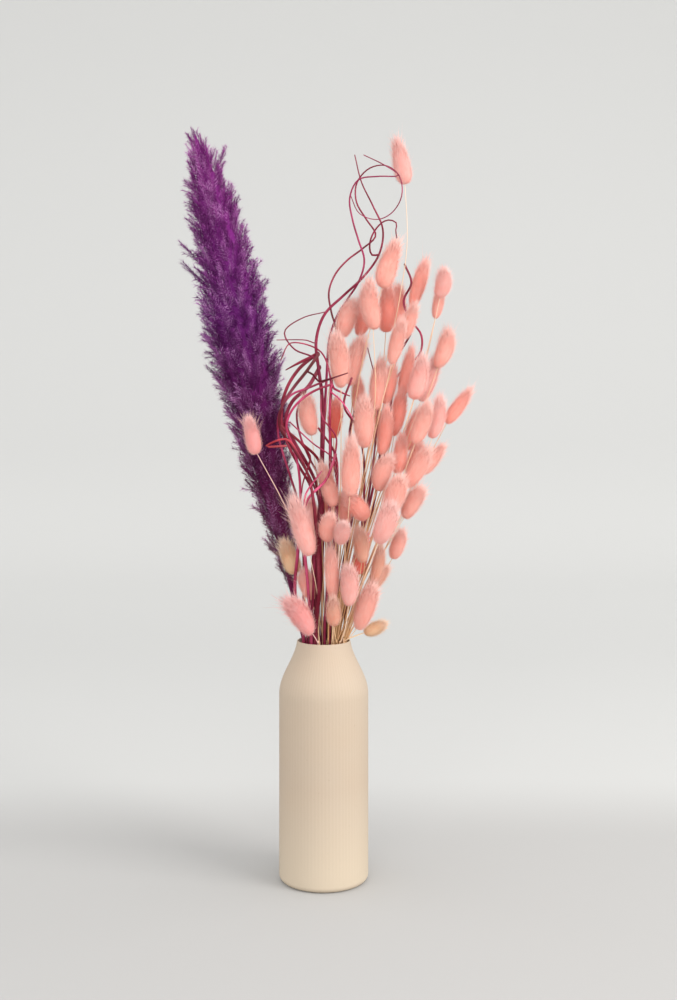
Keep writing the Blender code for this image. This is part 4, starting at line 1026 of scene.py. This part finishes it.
def turned_profile():
    """The vase's half section in mm, from the middle of its foot, up, over the rim and down inside."""
    corner = [(BODY_RADIUS - FOOT_CORNER * (1 - math.sin(t)), FOOT_CORNER * (1 - math.cos(t)))
              for t in np.linspace(0, math.pi / 2, CORNER_RINGS)]
    body = [(BODY_RADIUS, z) for z in np.linspace(FOOT_CORNER, SHOULDER_START, BODY_RINGS)[1:]]
    lip = (outer_radius(VASE_HEIGHT) - MOUTH_RADIUS) / 2
    shoulder = [(outer_radius(z), z)
                for z in np.linspace(SHOULDER_START, VASE_HEIGHT - lip, SHOULDER_RINGS)[1:]]
    rim = [(MOUTH_RADIUS + lip + lip * math.cos(t), VASE_HEIGHT - lip + lip * math.sin(t))
           for t in np.linspace(0, math.pi, RIM_STEPS)[1:]]
    inside = [(inner_radius(z), z) for z in np.linspace(INSIDE_END, SHOULDER_START, INSIDE_RINGS)]
    room = BODY_RADIUS - WALL
    floor = [(room, FLOOR + FLOOR_ROUND), (room - FLOOR_BEVEL, FLOOR + FLOOR_BEVEL),
             (room - FLOOR_ROUND, FLOOR), (0, FLOOR)]
    return [(0, 0)] + corner + body + shoulder + rim + inside + floor


def spin_vase(look):
    """The turned shell, its outside drawn in between fine upright ribs."""
    bm = bmesh.new()
    verts = [bm.verts.new((x, 0, z)) for x, z in turned_profile()]
    edges = [bm.edges.new(pair) for pair in zip(verts, verts[1:])]
    bmesh.ops.spin(bm, geom=verts + edges, cent=(0, 0, 0), axis=(0, 0, 1), angle=2 * math.pi,
                   steps=look.ribs * STEPS_A_RIB, use_merge=True)
    bmesh.ops.remove_doubles(bm, verts=bm.verts[:], dist=1e-3)
    bmesh.ops.recalc_face_normals(bm, faces=bm.faces[:])
    groove = bm.verts.layers.float.new("groove")
    for vert in bm.verts:
        away = math.hypot(vert.co.x, vert.co.y)
        height = vert.co.z
        if away < outer_radius(height) - SKIN or not RIB_FOOT < height < VASE_HEIGHT - RIB_STOP:
            continue
        turn = math.atan2(vert.co.y, vert.co.x)
        ease = min(1, (height - RIB_FOOT) / RIB_FADE, (VASE_HEIGHT - RIB_STOP - height) / RIB_FADE)
        vert[groove] = ease * 0.5 * (1 - math.cos(turn * look.ribs))
        draw = 1 - look.rib_depth / MM * vert[groove] / away
        vert.co.x *= draw
        vert.co.y *= draw
    return modelled(bm, "ribbed_vase")


def clay(look):
    """Matt cream clay: cloudy in colour, finely grained and flecked, with painted shade that makes it a
    little darker in its grooves.
    """
    made = Finish("cream clay", Roughness=0.7, Specular_IOR_Level=0.35)
    where = made.place()
    cloud = made.noise(where, 22.0, 3.0)
    grain = made.noise(where, 900.0, 4.0, 0.6)
    fleck = made.add("ShaderNodeRGBToBW", inputs={0: made.ramp(made.noise(where, 420.0, 1.0), *FLECKS)})
    tone = made.blend(cloud, shade_of(look.clay), shade_of(look.clay_warm))
    # Painted shade: the grooves between the ribs are darkened towards this colour
    tone = made.blend(0.15 * made.stored("groove"), tone, shade_of(look.clay_flecks_and_groove_shade))
    tone = made.blend(0.25 * fleck, tone, shade_of(look.clay_flecks_and_groove_shade))
    foot = made.span(made.part(where, 2), FOOT_CLAY_LEVELS)
    made.show("Base Color", made.blend(FOOT_CLAY_SHARE * foot, tone, colour(*FOOT_CLAY)))
    made.show("Roughness", 0.6 + 0.2 * grain)
    made.bump(grain, 0.00012, 0.5)
    return made


# Bunny tail grass


def fluffy_head(rng, look):
    """An egg-shaped head of standard size in mm: a slim core, close fluff, fine fuzz and a few awns."""
    gather = Gather()
    spike = hair()
    taper, point = rng.uniform(*HEAD_TAPER), rng.uniform(*HEAD_POINT)
    bm = bmesh.new()
    bmesh.ops.create_icosphere(bm, subdivisions=3, radius=1.0)
    lock = bm.verts.layers.float_color.new("lock")
    for vert in bm.verts:
        vert.co = head_surface(vert.co.normalized(), taper, point)
        vert[lock] = lock_of(vert.co)
    gather.add(modelled(bm, "core"), Matrix.Identity(4), tip=CORE_TIP_SHARE)
    kinds = ((look.hairs, *CLOSE_HAIR), (look.fuzz, *FUZZ), (look.awns, *AWN))
    for count, long, radius, pale in kinds:
        for number in range(count):
            share = (number + rng.random()) / count
            turn = number * GOLDEN_ANGLE
            flat = math.sqrt(max(0, 1 - (1 - 2 * share) ** 2))
            out = Vector((math.cos(turn), math.sin(turn), 0))
            root = head_surface(Vector((flat * out.x, flat * out.y, 2 * share - 1)), taper, point)
            angle = math.radians(np.interp(share, *HAIR_LEAN) + rng.gauss(0, HAIR_STRAY))
            way = math.sin(angle) * out + math.cos(angle) * Vector((0, 0, 1))
            way += HAIR_SWERVE * rng.gauss(0, 1) * Vector((-out.y, out.x, 0))
            tall = long * np.interp(share, *HAIR_LENGTH) * rng.uniform(*HAIR_UNEVEN)
            thick = radius * (1 + TIP_THICKER * share ** 4)
            gather.add(spike, stand(root - HAIR_SUNK * way, way, thick, tall, rng.uniform(*ANY_TURN)),
                       pale=pale * rng.uniform(*HAIR_SHADES), lock=lock_of(root))
    mesh = gather.mesh("fluffy head")
    bend = rng.uniform(*HEAD_BEND)
    for vert in mesh.vertices:
        vert.co.x += bend * HEAD_LENGTH * ((vert.co.z / HEAD_LENGTH - 0.5) ** 2 - HEAD_BEND_SHIFT)
    return mesh


def awn_fan(rng, look):
    """Long awns round the upper half of a head of standard size in mm."""
    gather = Gather()
    spike = hair()
    for number in range(look.long_awns):
        turn = number * GOLDEN_ANGLE
        out = Vector((math.cos(turn), math.sin(turn), 0))
        rise = rng.uniform(*LONG_AWN_RISE)
        root = head_surface(math.sqrt(1 - rise * rise) * out + Vector((0, 0, rise)), 0.0, 1.0)
        lean = math.radians(rng.uniform(*LONG_AWN_LEAN))
        way = math.sin(lean) * out + math.cos(lean) * Vector((0, 0, 1))
        gather.add(spike, stand(root, way, LONG_AWN_RADIUS, rng.uniform(*LONG_AWNS)),
                   pale=LONG_AWN_PALE, lock=lock_of(root))
    return gather.mesh("awns")


def lock_of(place):
    """Where a place on a head lies for noise that is drawn out along the head."""
    return (place.x, place.y, LOCK_LONG * place.z, 1.0)


def head_surface(way, taper, point):
    """Where the core of a head of standard size lies, in mm, for a way on the unit ball."""
    flat = math.hypot(way.x, way.y)
    blunt = flat ** (point if way.z > 0 else HEAD_BLUNT) / flat if flat > 1e-6 else 0.0
    wide = 0.5 * HEAD_WIDTH * HEAD_CORE * (1 - taper * way.z) * blunt
    return Vector((way.x * wide, way.y * wide,
                   HEAD_LENGTH * (0.5 + (0.5 - HEAD_COVER) * way.z - HEAD_DROP * HEAD_COVER)))


def fluff(look):
    """Dyed fluff: locks along the head, deeper and paler in patches, pale at the tips of the hairs, paler
    at the top partly as painted light, and with a faint painted glow in its own colour.
    """
    made = Finish("dyed fluff", Roughness=0.85, Specular_IOR_Level=0.12, Subsurface_Weight=0.3,
                  Subsurface_Radius=(1.0, 0.45, 0.4), Subsurface_Scale=0.003,
                  Emission_Strength=look.painted_glow)
    tint = made.stored("tint", "Color")
    lock = made.stored("lock", "Color")
    patch = made.noise(made.place(), 110.0, 2.0)
    streak = made.noise(lock, 0.8, 3.0, 0.6)
    tip = made.stored("tip")
    deep = made.blend(1.0, tint, shade_of(look.root_dye), "MULTIPLY")
    body = made.blend((1.6 * streak + 1.2 * patch - 0.7).clamped(), deep, tint)
    crown = made.span(made.part(lock, 2), [LOCK_LONG * share * HEAD_LENGTH for share in CROWN_REACH])
    # Paler at the top: partly the tips' own colour, partly painted light over the shade among the crowded
    # hairs
    body = made.blend(look.crown_pale_and_painted_light * crown, body, PALE_CROWN_AND_PAINTED_LIGHT)
    pale = made.blend(look.tip_pale, tint, PALE_TIP)
    tone = made.blend((tip * made.stored("pale") - 0.3).clamped(), body, pale)
    made.show("Base Color", tone)
    # Painted glow: the fluff gives off a little light in its own colour, which lifts its shade
    made.show("Emission Color", tone)
    made.bump(streak, 0.0006, 0.6)
    return made


def straw():
    """Dried stems: straw with dye that has run in, and long fine streaks."""
    made = Finish("dried straw", Roughness=0.6, Specular_IOR_Level=0.4)
    streak = made.noise(made.stored("grain", "Vector"), 1.3, 3.0)
    patch = made.noise(made.place(), 45.0, 2.0)
    high = made.stored("along") ** DYE_RISE
    made.show("Base Color", made.blend(high * (0.5 + 0.5 * patch), made.ramp(streak, *STRAW),
                                       made.stored("tint", "Color")))
    made.bump(streak, 0.0001, 0.6)
    return made


# Curly sticks


def bare_wood():
    """Dyed curly sticks: streaks along the grain, darker in patches."""
    made = Finish("dyed stick", Roughness=0.6, Specular_IOR_Level=0.2)
    streak = made.noise(made.stored("grain", "Vector"), 1.1, 4.0, 0.6)
    patch = made.noise(made.place(), 38.0, 3.0)
    along = made.stored("along")
    tint = made.blend(made.span(along, FOOT_DYE_END), made.stored("tint", "Color"),
                      made.stored("foot", "Color"))
    dark = made.blend(1.0, tint, DARK_WOOD, "MULTIPLY")
    light = made.blend(LIGHT_WOOD_SHARE, tint, LIGHT_WOOD)
    tone = made.blend((2.6 * streak - 0.8).clamped(), tint, light)
    tone = made.blend((2.8 * patch - 0.7).clamped(), tone, dark)
    low = made.span(made.part(made.place(), 2), LOW_WOOD_LEVELS)
    tone = made.blend(LOW_WOOD_SHARE * low, tone, colour(*LOW_WOOD))
    tip = made.span(along, TIP_WOOD_START)
    made.show("Base Color", made.blend(TIP_WOOD_SHARE * tip, tone, colour(*TIP_WOOD)))
    made.show("Roughness", 0.5 + 0.2 * streak)
    made.bump(streak, 0.0002, 0.7)
    return made


# Pampas plume


def leaning(lean, turn):
    """The way that leans so far from upright, to the side that a turn gives."""
    return Vector((math.sin(lean) * math.cos(turn), math.sin(lean) * math.sin(turn), math.cos(lean)))


def plume_tuft(rng, spike, tall, hairs):
    """A twiglet of the plume: a thin stalk with fine hairs all round it, steeper towards its tip."""
    gather = Gather()
    stalk = loft([Vector((0, 0, 0)), Vector((0, 0, tall))], TUFT_STALK, 3)
    gather.add(stalk, Matrix.Identity(4), tip=0.0)
    for number in range(hairs):
        share = TUFT_BARE + (1 - TUFT_BARE) * (number + 0.5) / hairs
        lean = math.radians(rng.uniform(*TUFT_HAIR_LEAN)) * (1.15 - 0.5 * share)
        husk = number % HUSK_EVERY == 0
        place = stand((0, 0, share * tall), leaning(lean, number * GOLDEN_ANGLE),
                      HUSK_RADIUS if husk else TUFT_HAIR_RADIUS, rng.uniform(*TUFT_HAIR_LENGTH),
                      rng.uniform(*ANY_TURN))
        gather.add(spike, place, husk=float(husk))
    return gather.mesh("tuft")


def plume_spray(rng, tufts, look):
    """A branch of the plume, of standard height: tufts that leave it one above another."""
    gather = Gather()
    for number in range(look.spray_tufts):
        share = (number + rng.uniform(*SPRAY_TUFT_PLACE)) / look.spray_tufts
        turn = number * GOLDEN_ANGLE + rng.uniform(*SPRAY_TUFT_SWERVE)
        lean = math.radians(rng.uniform(*SPRAY_LEAN)) * (1.1 - share)
        root = Vector((0, 0, share * (SPRAY_TALL - TUFT_TALL)))
        gather.add(rng.choice(tufts), stand(root, leaning(lean, turn), 1.0, rng.uniform(*SPRAY_TUFT_SIZE),
                                            rng.uniform(*ANY_TURN)), along=float(share))
    return gather.mesh("spray")


def plume_colour(look):
    """Dyed plume: plum below, violet in the middle, magenta above, darker in dark tufts and clumps, with
    painted shade darkest deep inside and painted highlights on the tips of the hairs of light tufts.
    """
    made = Finish("dyed plume", Roughness=0.8, Specular_IOR_Level=0.25)
    where = made.place()
    body = made.ramp(made.span(made.part(where, 2), PLUME_LEVELS), *PLUME_DYES)
    clump = made.noise(where, 60.0, 3.0, 0.6)
    tip = made.stored("tip")
    tone = made.stored("tone")
    # Towards the core, the roots of the hairs and the foot of a spray the plume is darker, which is painted
    # shade; dark tufts and clumps are its own tone
    share = 0.3 * made.stored("along") + 0.3 * tip + 0.7 * tone + 1.6 * clump - 1.1
    dark = made.blend(1.0, body, DARK_AND_SHADED_PLUME, "MULTIPLY")
    painted_highlight = made.blend(PAINTED_HIGHLIGHT_PLUME_SHARE, body, colour(*PAINTED_HIGHLIGHT_PLUME))
    # Painted highlights on the tips of the hairs of light tufts and on the husks
    painted_highlight_share = 1.5 * tip * tone * tone + 1.1 * made.stored("husk") * tone
    made.show("Base Color", made.blend(share.clamped(), dark, made.blend(painted_highlight_share.clamped(), body, painted_highlight)))
    return made


def find_along(runs, rows, at):
    """The row of numbers at a distance along a path."""
    return np.array([np.interp(at, runs, column) for column in np.array(rows, float).T])


class Plume:
    """The settled axis of the plume, and how wide the plume is along it."""

    def __init__(self):
        self.points, half = next((s[2], s[3]) for s in plan_all() if s[0] == "plume")
        self.stem_count = len(self.points) - len(half)
        self.axis = self.points[self.stem_count:]
        steps = np.linalg.norm(np.diff(self.axis, axis=0), axis=1)
        self.runs = np.concatenate(([0], np.cumsum(steps)))
        self.widths = np.array(half, float)
        grown = steps * (self.widths[1:] + self.widths[:-1] + TIP_CLOSER)
        self.crowd = np.concatenate(([0], np.cumsum(grown)))
        self.top = float(self.runs[-1])

    def run(self, share):
        """How far up the axis a share of all that grows on the plume is rooted below."""
        return float(np.interp(share * self.crowd[-1], self.crowd, self.runs))

    def middle(self, run):
        """The place on the axis at a run."""
        return Vector(find_along(self.runs, self.axis, min(run, self.top)))

    def half(self, run):
        """Half the plume's width at a run."""
        return float(np.interp(run, self.runs, self.widths))

    def upward(self, run):
        """The way the axis goes at a run."""
        return (self.middle(run + AXIS_EASE) - self.middle(max(run - AXIS_EASE, 0))).normalized()

    def outward(self, run, turn):
        """From the axis to the outline, for an outline one unit wide."""
        along = self.upward(run)
        across = (Vector((1, 0, 0)) - along * along.x).normalized()
        return math.cos(turn) * across + PLUME_FLATNESS * math.sin(turn) * along.cross(across)


def grow_plume(look):
    """The plume: a slim core thick with tufts, and longer sprays that break its outline."""
    rng = random.Random(SEED)
    plume = Plume()
    spike = hair()
    tufts = [plume_tuft(rng, spike, TUFT_TALL, look.tuft_hairs) for number in range(TUFT_KINDS)]
    sprays = [plume_spray(rng, tufts, look) for number in range(SPRAY_KINDS)]
    parts = [Gather() for number in range(PLUME_PARTS)]
    skin = np.maximum(PLUME_STEM_RADIUS, CORE_SHARE * plume.widths - CORE_EASE)
    skin[-1] = CORE_TIP
    radii = [PLUME_STEM_RADIUS] * plume.stem_count + list(skin)
    parts[0].add(loft(plume.points, radii, CORE_SIDES, PLUME_FLATNESS), Matrix.Identity(4),
                 tone=0.0, tip=0.0, along=0.0, husk=0.0)
    for number in range(look.tufts):
        run = plume.run((number + rng.random()) / look.tufts)
        turn = number * GOLDEN_ANGLE
        out = plume.outward(run, turn)
        half = plume.half(run)
        tall = TUFT_TALL * rng.uniform(*TUFT_SIZE) * min(1, TUFT_AT_TIP + TUFT_GROWTH * half)
        clump = noise.noise((plume.middle(run) + half * out) / CLUMP_SIZE)
        room = (rng.uniform(*TUFT_REACH) + CLUMP_REACH * clump - TUFT_ROOT) * half
        lean = math.asin(min(TUFT_SLOPES[1], max(TUFT_SLOPES[0], room / tall)))
        way = math.cos(lean) * plume.upward(run) + math.sin(lean) * out.normalized()
        way += TUFT_STRAY * Vector([rng.gauss(0, 1) for axis in range(3)])
        root = plume.middle(run) + TUFT_ROOT * half * out
        size = tall / TUFT_TALL
        # A tuft's tone is random, plus painted light where its clump stands further out
        parts[number * PLUME_PARTS // look.tufts].add(
            rng.choice(tufts), stand(root, way, size, size, rng.uniform(*ANY_TURN)),
            tone=max(0.0, rng.choice(TUFT_TONES) + CLUMP_PAINTED_LIGHT * clump), along=TUFT_ALONG)
    for number in range(look.sprays):
        run = plume.run(SPRAY_LAST * (number + rng.random()) / look.sprays)
        turn = number * GOLDEN_ANGLE + rng.uniform(*SPRAY_SWERVE)
        climb = rng.uniform(*SPRAY_CLIMB)
        tip = plume.middle(run + climb) + (plume.half(run + climb) * rng.uniform(*SPRAY_REACH)
                                           * plume.outward(min(run + climb, plume.top), turn))
        root = plume.middle(run) + SPRAY_ROOT * plume.half(run) * plume.outward(run, turn)
        size = (tip - root).length / SPRAY_TALL
        parts[number * PLUME_PARTS // look.sprays].add(
            rng.choice(sprays), stand(root, tip - root, min(1, size), size, rng.uniform(*ANY_TURN)),
            tone=rng.uniform(*SPRAY_TONES))
    heights = [p[2] for p in plume.axis]
    for across, up, start in STRAYS:
        tip = Vector(seen(across, up, PLUME_DEPTH + rng.uniform(-STRAY_DEPTH, STRAY_DEPTH)))
        foot = Vector([float(np.interp(start, heights, column)) for column in np.array(plume.axis).T])
        foot = foot.lerp(tip, STRAY_FOOT)
        size = (tip - foot).length / SPRAY_TALL
        parts[-1].add(rng.choice(sprays), stand(foot, tip - foot, STRAY_SLIM, size, rng.uniform(*ANY_TURN)),
                      tone=STRAY_TONE)
    return [part.mesh(f"feathery_plume_{number + 1}") for number, part in enumerate(parts)]


# Looks and operators


def smooth_strand(points, radii, spacing):
    """A settled strand's points and radii, close together on a smooth curve."""
    length = float(np.linalg.norm(np.diff(points, axis=0), axis=1).sum())
    count = max(4, round(length / spacing))
    fine = curve_through(points, count)
    runs = np.concatenate(([0], np.cumsum(np.linalg.norm(np.diff(points, axis=0), axis=1))))
    return fine, np.interp(np.linspace(0, 1, count), runs / runs[-1], radii)


class VaseLook(PropertyGroup):
    """The turned vase."""

    ribs: IntProperty(name="Ribs", description="Fine upright ribs round the vase", default=80, min=12)
    rib_depth: FloatProperty(name="Rib depth", description="How deep the grooves between ribs are",
                             default=0.00007, min=0.0, unit="LENGTH", precision=5)
    clay: FloatVectorProperty(name="Clay", description="The clay's colour", subtype="COLOR", size=3,
                              default=colour(181, 166, 149)[:3], min=0, max=1)
    clay_warm: FloatVectorProperty(name="Warm clay", description="Its warmer clouds", subtype="COLOR",
                                   size=3, default=colour(181, 162, 142)[:3], min=0, max=1)
    # The colour of the flecks, and of the painted shade in the grooves
    clay_flecks_and_groove_shade: FloatVectorProperty(name="Deep clay", description="Its grooves and flecks",
                                   subtype="COLOR", size=3, default=colour(156, 139, 119)[:3],
                                   min=0, max=1)


class TailLook(PropertyGroup):
    """The fluffy heads of the bunny tail grass."""

    hairs: IntProperty(name="Hairs", description="Close hairs on each head", default=950, min=100)
    fuzz: IntProperty(name="Fuzz", description="Finer and longer hairs on each head", default=520, min=0)
    awns: IntProperty(name="Awns", description="Long fine awns on each head", default=26, min=0)
    long_awns: IntProperty(name="Long awns", description="Long awns on a few of the heads",
                           default=44, min=0)
    # A painted glow: how strongly the fluff gives off light in its own colour, to lift its shade
    painted_glow: FloatProperty(name="Light in the fluff", description="Light that passes from hair to hair",
                        default=0.1, min=0, max=1)
    # Partly the tips' own paler colour, partly painted light that lifts the shade at the tops of the heads
    crown_pale_and_painted_light: FloatProperty(name="Paler crown", description="How much paler a head is at its top",
                              default=0.35, min=0, max=1)
    tip_pale: FloatProperty(name="Paler tips", description="How much paler a hair is at its tip",
                            default=0.14, min=0, max=1)
    root_dye: FloatVectorProperty(name="Root dye", description="How the dye deepens at the roots",
                                  subtype="COLOR", size=3, default=(1.0, 0.77, 0.73), min=0, max=1)
    stem: FloatProperty(name="Stem radius", description="Half the thickness of a stem",
                        default=0.00105, min=0.0002, unit="LENGTH", precision=4)


class PlumeLook(PropertyGroup):
    """The dyed plume."""

    tufts: IntProperty(name="Tufts", description="Tufts all over the plume", default=1400, min=100)
    sprays: IntProperty(name="Sprays", description="Branches that break its outline", default=130, min=20)
    spray_tufts: IntProperty(name="Spray tufts", description="Tufts on each branch", default=8, min=3)
    tuft_hairs: IntProperty(name="Hairs", description="Fine hairs on each tuft", default=36, min=6)


class StageLook(PropertyGroup):
    """The pale floor, the soft light and the camera."""

    distance: FloatProperty(name="Camera distance", description="From the camera to the vase's axis",
                            default=VIEW_DISTANCE * MM, unit="LENGTH")
    lens: FloatProperty(name="Lens", description="Focal length in mm on a 36 mm sensor", default=48.35)
    shift: FloatProperty(name="Shift", description="Upright shift of the picture", default=-0.11)
    key: FloatProperty(name="Key light", description="Power of the light on the right", default=76.0,
                       unit="POWER")
    fill: FloatProperty(name="Front light", description="Power of the light beside the camera",
                        default=44.0, unit="POWER")
    room: FloatProperty(name="Room light", description="Strength of the light from all sides", default=1.3)
    floor: FloatVectorProperty(name="Floor", description="The floor's colour", subtype="COLOR", size=3,
                               default=colour(176, 175, 174)[:3], min=0, max=1)
    far_floor: FloatVectorProperty(name="Far floor", description="The floor's colour behind the vase",
                                   subtype="COLOR", size=3, default=colour(192, 192, 191)[:3], min=0, max=1)
    backdrop: FloatVectorProperty(name="Backdrop", description="The backdrop's colour", subtype="COLOR",
                                  size=3, default=colour(194, 194, 193)[:3], min=0, max=1)


class DRIEDFLOWERS_OT_vase(Operator):
    """Turns the vase with its fine ribs"""

    bl_idname = "dried_flowers.vase"
    bl_label = "Ribbed vase"

    def execute(self, context):
        look = context.scene.vase_look
        show("ribbed_vase", spin_vase(look), ["vase"], [clay(look)])
        return {"FINISHED"}


class DRIEDFLOWERS_OT_tails(Operator):
    """Grows the bunny tails: smooth straw stems with fluffy heads"""

    bl_idname = "dried_flowers.tails"
    bl_label = "Bunny tails"

    def execute(self, context):
        look = context.scene.tail_look
        rng = random.Random(SEED)
        heads = [fluffy_head(rng, look) for number in range(HEAD_KINDS)]
        awns = awn_fan(rng, look)
        finishes = [fluff(look), straw()]
        bunches = {}
        tails = [s for s in plan_all() if s[0] == "tail"]
        for index, ((kind, node, points, radii, width), dye) in enumerate(zip(tails, TAIL_DYES)):
            fluffs, stems = bunches.setdefault(node, (Gather(), Gather()))
            base, tip = Vector(points[-2]), Vector(points[-1])
            axis = (tip - base).normalized()
            inset = HEAD_INSET * width
            length = (tip - base).length + 2 * inset + HEAD_LONGER
            base -= inset * axis
            tint = vary(rng, DYES[dye], HEAD_VARIES)
            place = stand(base, axis, HEAD_FULL * width / HEAD_WIDTH, length / HEAD_LENGTH,
                          rng.uniform(*ANY_TURN))
            fluffs.add(rng.choice(heads), place, tint=tint)
            if index in LONG_AWNED:
                fluffs.add(awns, place, tint=tint)
            down = points[1] - points[2]
            path = np.insert(points[:-1], 2, points[2] + UNDER_MOUTH * down / np.linalg.norm(down), axis=0)
            slim = np.linspace(1, STEM_SLIM, len(path))
            fine, thick = smooth_strand(path, look.stem / MM * slim, STEM_STEP)
            stems.add(loft(fine, thick, STEM_SIDES), Matrix.Identity(4),
                      tint=vary(rng, STEM_DYES[dye], STEM_VARIES))
        for node, (fluffs, stems) in bunches.items():
            number = node.removeprefix("bunny_tails_")
            show(f"fluffy_heads_{number}", fluffs.mesh("heads"), [node], finishes[:1])
            show(f"straw_stems_{number}", stems.mesh("stems"), [node], finishes[1:])
        return {"FINISHED"}


class DRIEDFLOWERS_OT_sticks(Operator):
    """Bends the dyed curly sticks"""

    bl_idname = "dried_flowers.sticks"
    bl_label = "Curly sticks"

    def execute(self, context):
        rng = random.Random(SEED)
        finish = bare_wood()
        bunches = {}
        for kind, node, points, radii, width in plan_all():
            if kind != "stick":
                continue
            name = node.removeprefix("curly_stick_")
            least = 0 if node in bunches else LEAST_RADII.get(name, 0)
            gather = bunches.setdefault(node, Gather())
            fine, thick = smooth_strand(points, radii, STICK_STEP)
            thick = np.maximum(STICK_FULL * thick, least)
            gather.add(loft(fine, thick, STICK_SIDES, STICK_FLAT, pointed=True), Matrix.Identity(4),
                       tint=vary(rng, STICK_DYES[name], STICK_VARIES),
                       foot=vary(rng, STICK_FEET.get(name, STICK_DYES[name]), STICK_VARIES))
        for node, gather in bunches.items():
            name = node.replace("curly_stick", "dyed_stick")
            show(name, gather.mesh("stick"), [node], [finish])
        return {"FINISHED"}


class DRIEDFLOWERS_OT_plume(Operator):
    """Grows the feathery plume out of many fine tufts"""

    bl_idname = "dried_flowers.plume"
    bl_label = "Feathery plume"

    def execute(self, context):
        look = context.scene.plume_look
        finish = plume_colour(look)
        for mesh in grow_plume(look):
            show(mesh.name, mesh, ["pampas_grass"], [finish])
        return {"FINISHED"}


class DRIEDFLOWERS_OT_stage(Operator):
    """Lays the pale floor, and sets the soft lights and the camera"""

    bl_idname = "dried_flowers.stage"
    bl_label = "Stage"

    def execute(self, context):
        look = context.scene.stage_look
        sweep(look)
        area_light("key", look.key, *KEY_LIGHT)
        area_light("fill", look.fill, *FRONT_LIGHT)
        world = bpy.data.worlds.new("room")
        world.use_nodes = True
        background = world.node_tree.nodes["Background"]
        background.inputs["Color"].default_value = ROOM_LIGHT
        background.inputs["Strength"].default_value = look.room
        context.scene.world = world
        context.scene.view_settings.view_transform = "Standard"
        lens = bpy.data.cameras.new("camera")
        lens.lens = look.lens
        lens.sensor_width = SENSOR
        lens.shift_y = look.shift
        camera = bpy.data.objects.new("camera", lens)
        camera.location = (VIEW_ACROSS * MM, -look.distance, VIEW_HEIGHT * MM)
        camera.rotation_euler = (math.radians(90), 0, 0)
        context.scene.collection.objects.link(camera)
        context.scene.camera = camera
        return {"FINISHED"}


def sweep(look):
    """A pale floor that curves up far behind, so that no edge shows."""
    bm = bmesh.new()
    curve = [(FLOOR_BACK + SWEEP_RADIUS * math.sin(t), SWEEP_RADIUS * (1 - math.cos(t)))
             for t in np.linspace(0, math.pi / 2, SWEEP_RINGS)]
    profile = [(-FLOOR_REACH, 0)] + curve + [(FLOOR_BACK + SWEEP_RADIUS, SWEEP_TOP)]
    verts = [bm.verts.new((-FLOOR_REACH, y, z)) for y, z in profile]
    edges = [bm.edges.new(pair) for pair in zip(verts, verts[1:])]
    grown = bmesh.ops.extrude_edge_only(bm, edges=edges)["geom"]
    bmesh.ops.translate(bm, verts=[g for g in grown if isinstance(g, bmesh.types.BMVert)],
                        vec=(2 * FLOOR_REACH, 0, 0))
    bmesh.ops.recalc_face_normals(bm, faces=bm.faces[:])
    mesh = modelled(bm, "floor")
    mesh.shade_smooth()
    mesh.materials.append(pale_floor(look).material)
    floor = bpy.data.objects.new("floor", mesh)
    bpy.context.scene.collection.objects.link(floor)
    return floor


def pale_floor(look):
    """The floor's colour near the vase, behind it, in the bend and up the backdrop, with painted light in
    the bend.
    """
    made = Finish("pale floor", Roughness=0.8, Specular_IOR_Level=0.2)
    where = made.place()
    behind = made.part(where, 1)
    back = made.span(behind, FAR_FLOOR_BEHIND, "SMOOTHSTEP")
    bend = made.span(behind, BEND_BEHIND, "SMOOTHSTEP")
    rise = made.span(made.part(where, 2), BACKDROP_LEVELS, "SMOOTHSTEP")
    near = made.blend(CLOUD_SHARE * made.noise(where, 3.0, 2.0), shade_of(look.floor), CLOUD_SHADE)
    wall = made.blend(rise, shade_of(look.far_floor), shade_of(look.backdrop))
    # Painted light that lifts the shade where the floor bends up
    wall = made.blend(BEND_PAINTED_LIGHT_SHARE * bend * (1.0 - rise), wall, BEND_PAINTED_LIGHT)
    made.show("Base Color", made.blend(back, near, wall))
    return made


def area_light(name, power, size, place, shade):
    """A square soft light that looks at the middle of the flowers."""
    lamp = bpy.data.lights.new(name, "AREA")
    lamp.energy = power
    lamp.size = size
    lamp.color = shade
    light = bpy.data.objects.new(name, lamp)
    light.location = place
    light.rotation_euler = (AIM - Vector(place)).to_track_quat("-Z", "Y").to_euler()
    bpy.context.scene.collection.objects.link(light)


class DRIEDFLOWERS_PT_panel(Panel):
    """Lists the pieces and their looks"""

    bl_idname = "DRIEDFLOWERS_PT_panel"
    bl_label = "Dried flowers"
    bl_space_type = "VIEW_3D"
    bl_region_type = "UI"
    bl_category = "Dried flowers"

    def draw(self, context):
        for operator in OPERATORS:
            self.layout.operator(operator.bl_idname)
        for name, group in LOOKS.items():
            box = self.layout.box()
            box.label(text=group.__doc__)
            for setting in group.__annotations__:
                box.prop(getattr(context.scene, name), setting)


LOOKS = {"vase_look": VaseLook, "tail_look": TailLook, "plume_look": PlumeLook, "stage_look": StageLook}
OPERATORS = (DRIEDFLOWERS_OT_vase, DRIEDFLOWERS_OT_tails, DRIEDFLOWERS_OT_sticks, DRIEDFLOWERS_OT_plume,
             DRIEDFLOWERS_OT_stage)


def register():
    """Adds the classes, and the looks to every scene."""
    for made in (*LOOKS.values(), *OPERATORS, DRIEDFLOWERS_PT_panel):
        bpy.utils.register_class(made)
    for name, group in LOOKS.items():
        setattr(bpy.types.Scene, name, PointerProperty(type=group))


def unregister():
    """Takes them away again."""
    for name in LOOKS:
        delattr(bpy.types.Scene, name)
    for made in (DRIEDFLOWERS_PT_panel, *OPERATORS[::-1], *list(LOOKS.values())[::-1]):
        bpy.utils.unregister_class(made)


def main():
    """Builds every piece over the frame, and lays the stage."""
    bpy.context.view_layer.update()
    register()
    bpy.ops.dried_flowers.vase()
    bpy.ops.dried_flowers.tails()
    bpy.ops.dried_flowers.sticks()
    bpy.ops.dried_flowers.plume()
    bpy.ops.dried_flowers.stage()


if __name__ == "__main__":
    main()
